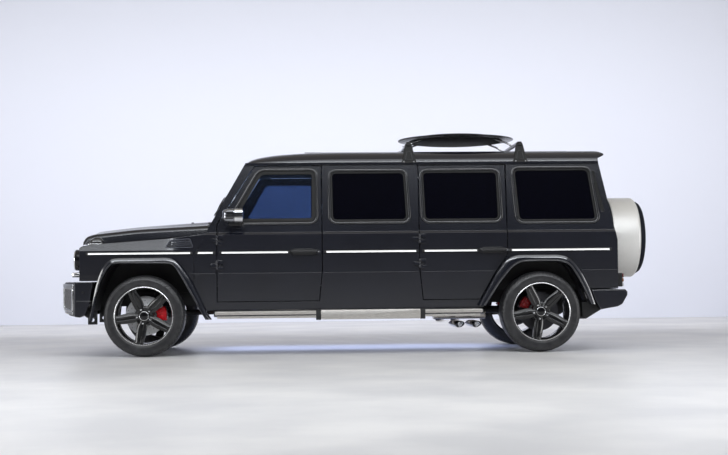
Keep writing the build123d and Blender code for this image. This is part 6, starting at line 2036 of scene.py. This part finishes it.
def placeCamera(settings):
    # forward = (-sin yaw cos pitch, -cos yaw cos pitch, sin pitch); right and up are turned by the roll
    yaw, pitch, roll = (radians(settings[key]) for key in ("yaw", "pitch", "roll"))
    forward = Vector((-sin(yaw) * cos(pitch), -cos(yaw) * cos(pitch), sin(pitch)))
    right = forward.cross(Vector((0, 0, 1))).normalized()
    up = right.cross(forward)
    turned = right * cos(roll) + up * sin(roll)
    raised = up * cos(roll) - right * sin(roll)
    camera = bpy.data.objects.new("camera", bpy.data.cameras.new("camera"))
    bpy.context.scene.collection.objects.link(camera)
    camera.data.lens = settings["lens"]
    camera.data.sensor_width = 36
    camera.data.clip_end = 200
    turn = Matrix((turned, raised, -forward)).transposed().to_4x4()
    camera.matrix_world = Matrix.Translation(settings["spot"]) @ turn
    bpy.context.scene.camera = camera


stageSettings = {"wall": -8.9, "wallTop": 14, "reach": 70, "horizon": 0.04, "zenith": 0.42, "ends": 0.45}


def makeStage(s):
    # a wide floor, and a plain wall across it behind the vehicle that is clear from its back
    floorFinish = Finish("pale_floor", Specular_IOR_Level=0.35)
    cloud = floorFinish.noise(0.9, 6)
    floorFinish.set(Base_Color=floorFinish.blend(cloud.ramp(0.35, 0.65), (0.612, 0.61, 0.618),
        (0.742, 0.735, 0.728)), Roughness=0.34 + 0.08 * cloud)
    wallFinish = Finish("pale_wall", Specular_IOR_Level=0.1, Roughness=0.9)
    shade = wallFinish.axis("Z").ramp(0, 6)
    wallFinish.set(Base_Color=wallFinish.blend(shade, (0.76, 0.78, 0.87), (0.78, 0.8, 0.88)))
    tree = wallFinish.tree
    clear = wallFinish.node("BsdfTransparent")
    back = wallFinish.node("NewGeometry", out=6)
    mix = tree.nodes.new("ShaderNodeMixShader")
    tree.links.new(back.socket, mix.inputs[0])
    tree.links.new(wallFinish.surface.outputs[0], mix.inputs[1])
    tree.links.new(clear.socket, mix.inputs[2])
    tree.links.new(mix.outputs[0], tree.nodes["Material Output"].inputs["Surface"])
    r, y, top = s["reach"], s["wall"], s["wallTop"]
    corners = np.array([(-r, -r, 0), (r, -r, 0), (r, r, 0), (-r, r, 0)], float)
    makeMesh("floor", corners, [[0, 1, 2, 3]], floorFinish)
    corners = np.array([(-r, y, 0.001), (-r, y, top), (r, y, top), (r, y, 0.001)], float)
    makeMesh("wall", corners, [[0, 1, 2, 3]], wallFinish)


def areaLight(name, spot, target, size, power, colour=(1, 1, 1), spread=180):
    light = bpy.data.lights.new(name, "AREA")
    light.shape = "RECTANGLE"
    light.size, light.size_y = size
    light.energy = power
    light.color = colour
    light.spread = radians(spread)
    lamp = bpy.data.objects.new(name, light)
    bpy.context.scene.collection.objects.link(lamp)
    lamp.location = spot
    lamp.visible_camera = False
    lamp.rotation_euler = (Vector(target) - Vector(spot)).to_track_quat("-Z", "Y").to_euler()


def makeWorld(s):
    # sky whose brightness climbs from the horizon to the zenith, and towards both ends of the vehicle
    world = bpy.data.worlds.new("studio")
    world.use_nodes = True
    tree = world.node_tree
    background = tree.nodes["Background"]
    spot = tree.nodes.new("ShaderNodeTexCoord")
    split = tree.nodes.new("ShaderNodeSeparateXYZ")
    tree.links.new(spot.outputs["Generated"], split.inputs[0])
    upward = Wire(tree, split.outputs["Z"]).ramp(0.25, 0.85, (s["horizon"], s["zenith"]))
    endward = Wire(tree, split.outputs["X"]).abs().ramp(0.45, 0.95, (0, s["ends"]))
    tree.links.new((upward + endward).socket, background.inputs["Strength"])
    warmth = tree.nodes.new("ShaderNodeMix")
    warmth.data_type = "RGBA"
    tree.links.new(Wire(tree, split.outputs["Z"]).ramp(0.2, 0.8).socket, warmth.inputs[0])
    warmth.inputs[6].default_value, warmth.inputs[7].default_value = (0.86, 0.91, 1, 1), (1, 0.93, 0.83, 1)
    tree.links.new(warmth.outputs[2], background.inputs["Color"])
    bpy.context.scene.world = world


placeCamera(cameraPlace)
makeStage(stageSettings)
makeWorld(stageSettings)
areaLight("soft_box", (0, 5.9, 5.8), (0, 5.4, 0), (12, 5), 380, (0.91, 0.95, 1))
areaLight("line_box", (0, 7.6, 5), (0, 1, 1), (11, 0.5), 220, (0.91, 0.95, 1))
areaLight("nose_box", (9.5, 5.5, 2), (0, 0.5, 1), (2, 3.4), 150)
areaLight("tail_box", (-9.5, 5.5, 2), (0, 0.5, 1), (2, 3.4), 150)
areaLight("under_glow", (0, -0.5, 0.3), (0, -0.5, 0), (3, 0.8), 9, (0.5, 0.6, 1), 150)
areaLight("wall_wash", (0, -3.2, 4.2), (0, -9, 2.3), (18, 3), 370, (0.95, 0.96, 1), 140)
bpy.context.scene.view_settings.view_transform = "Standard"
bpy.context.view_layer.update()
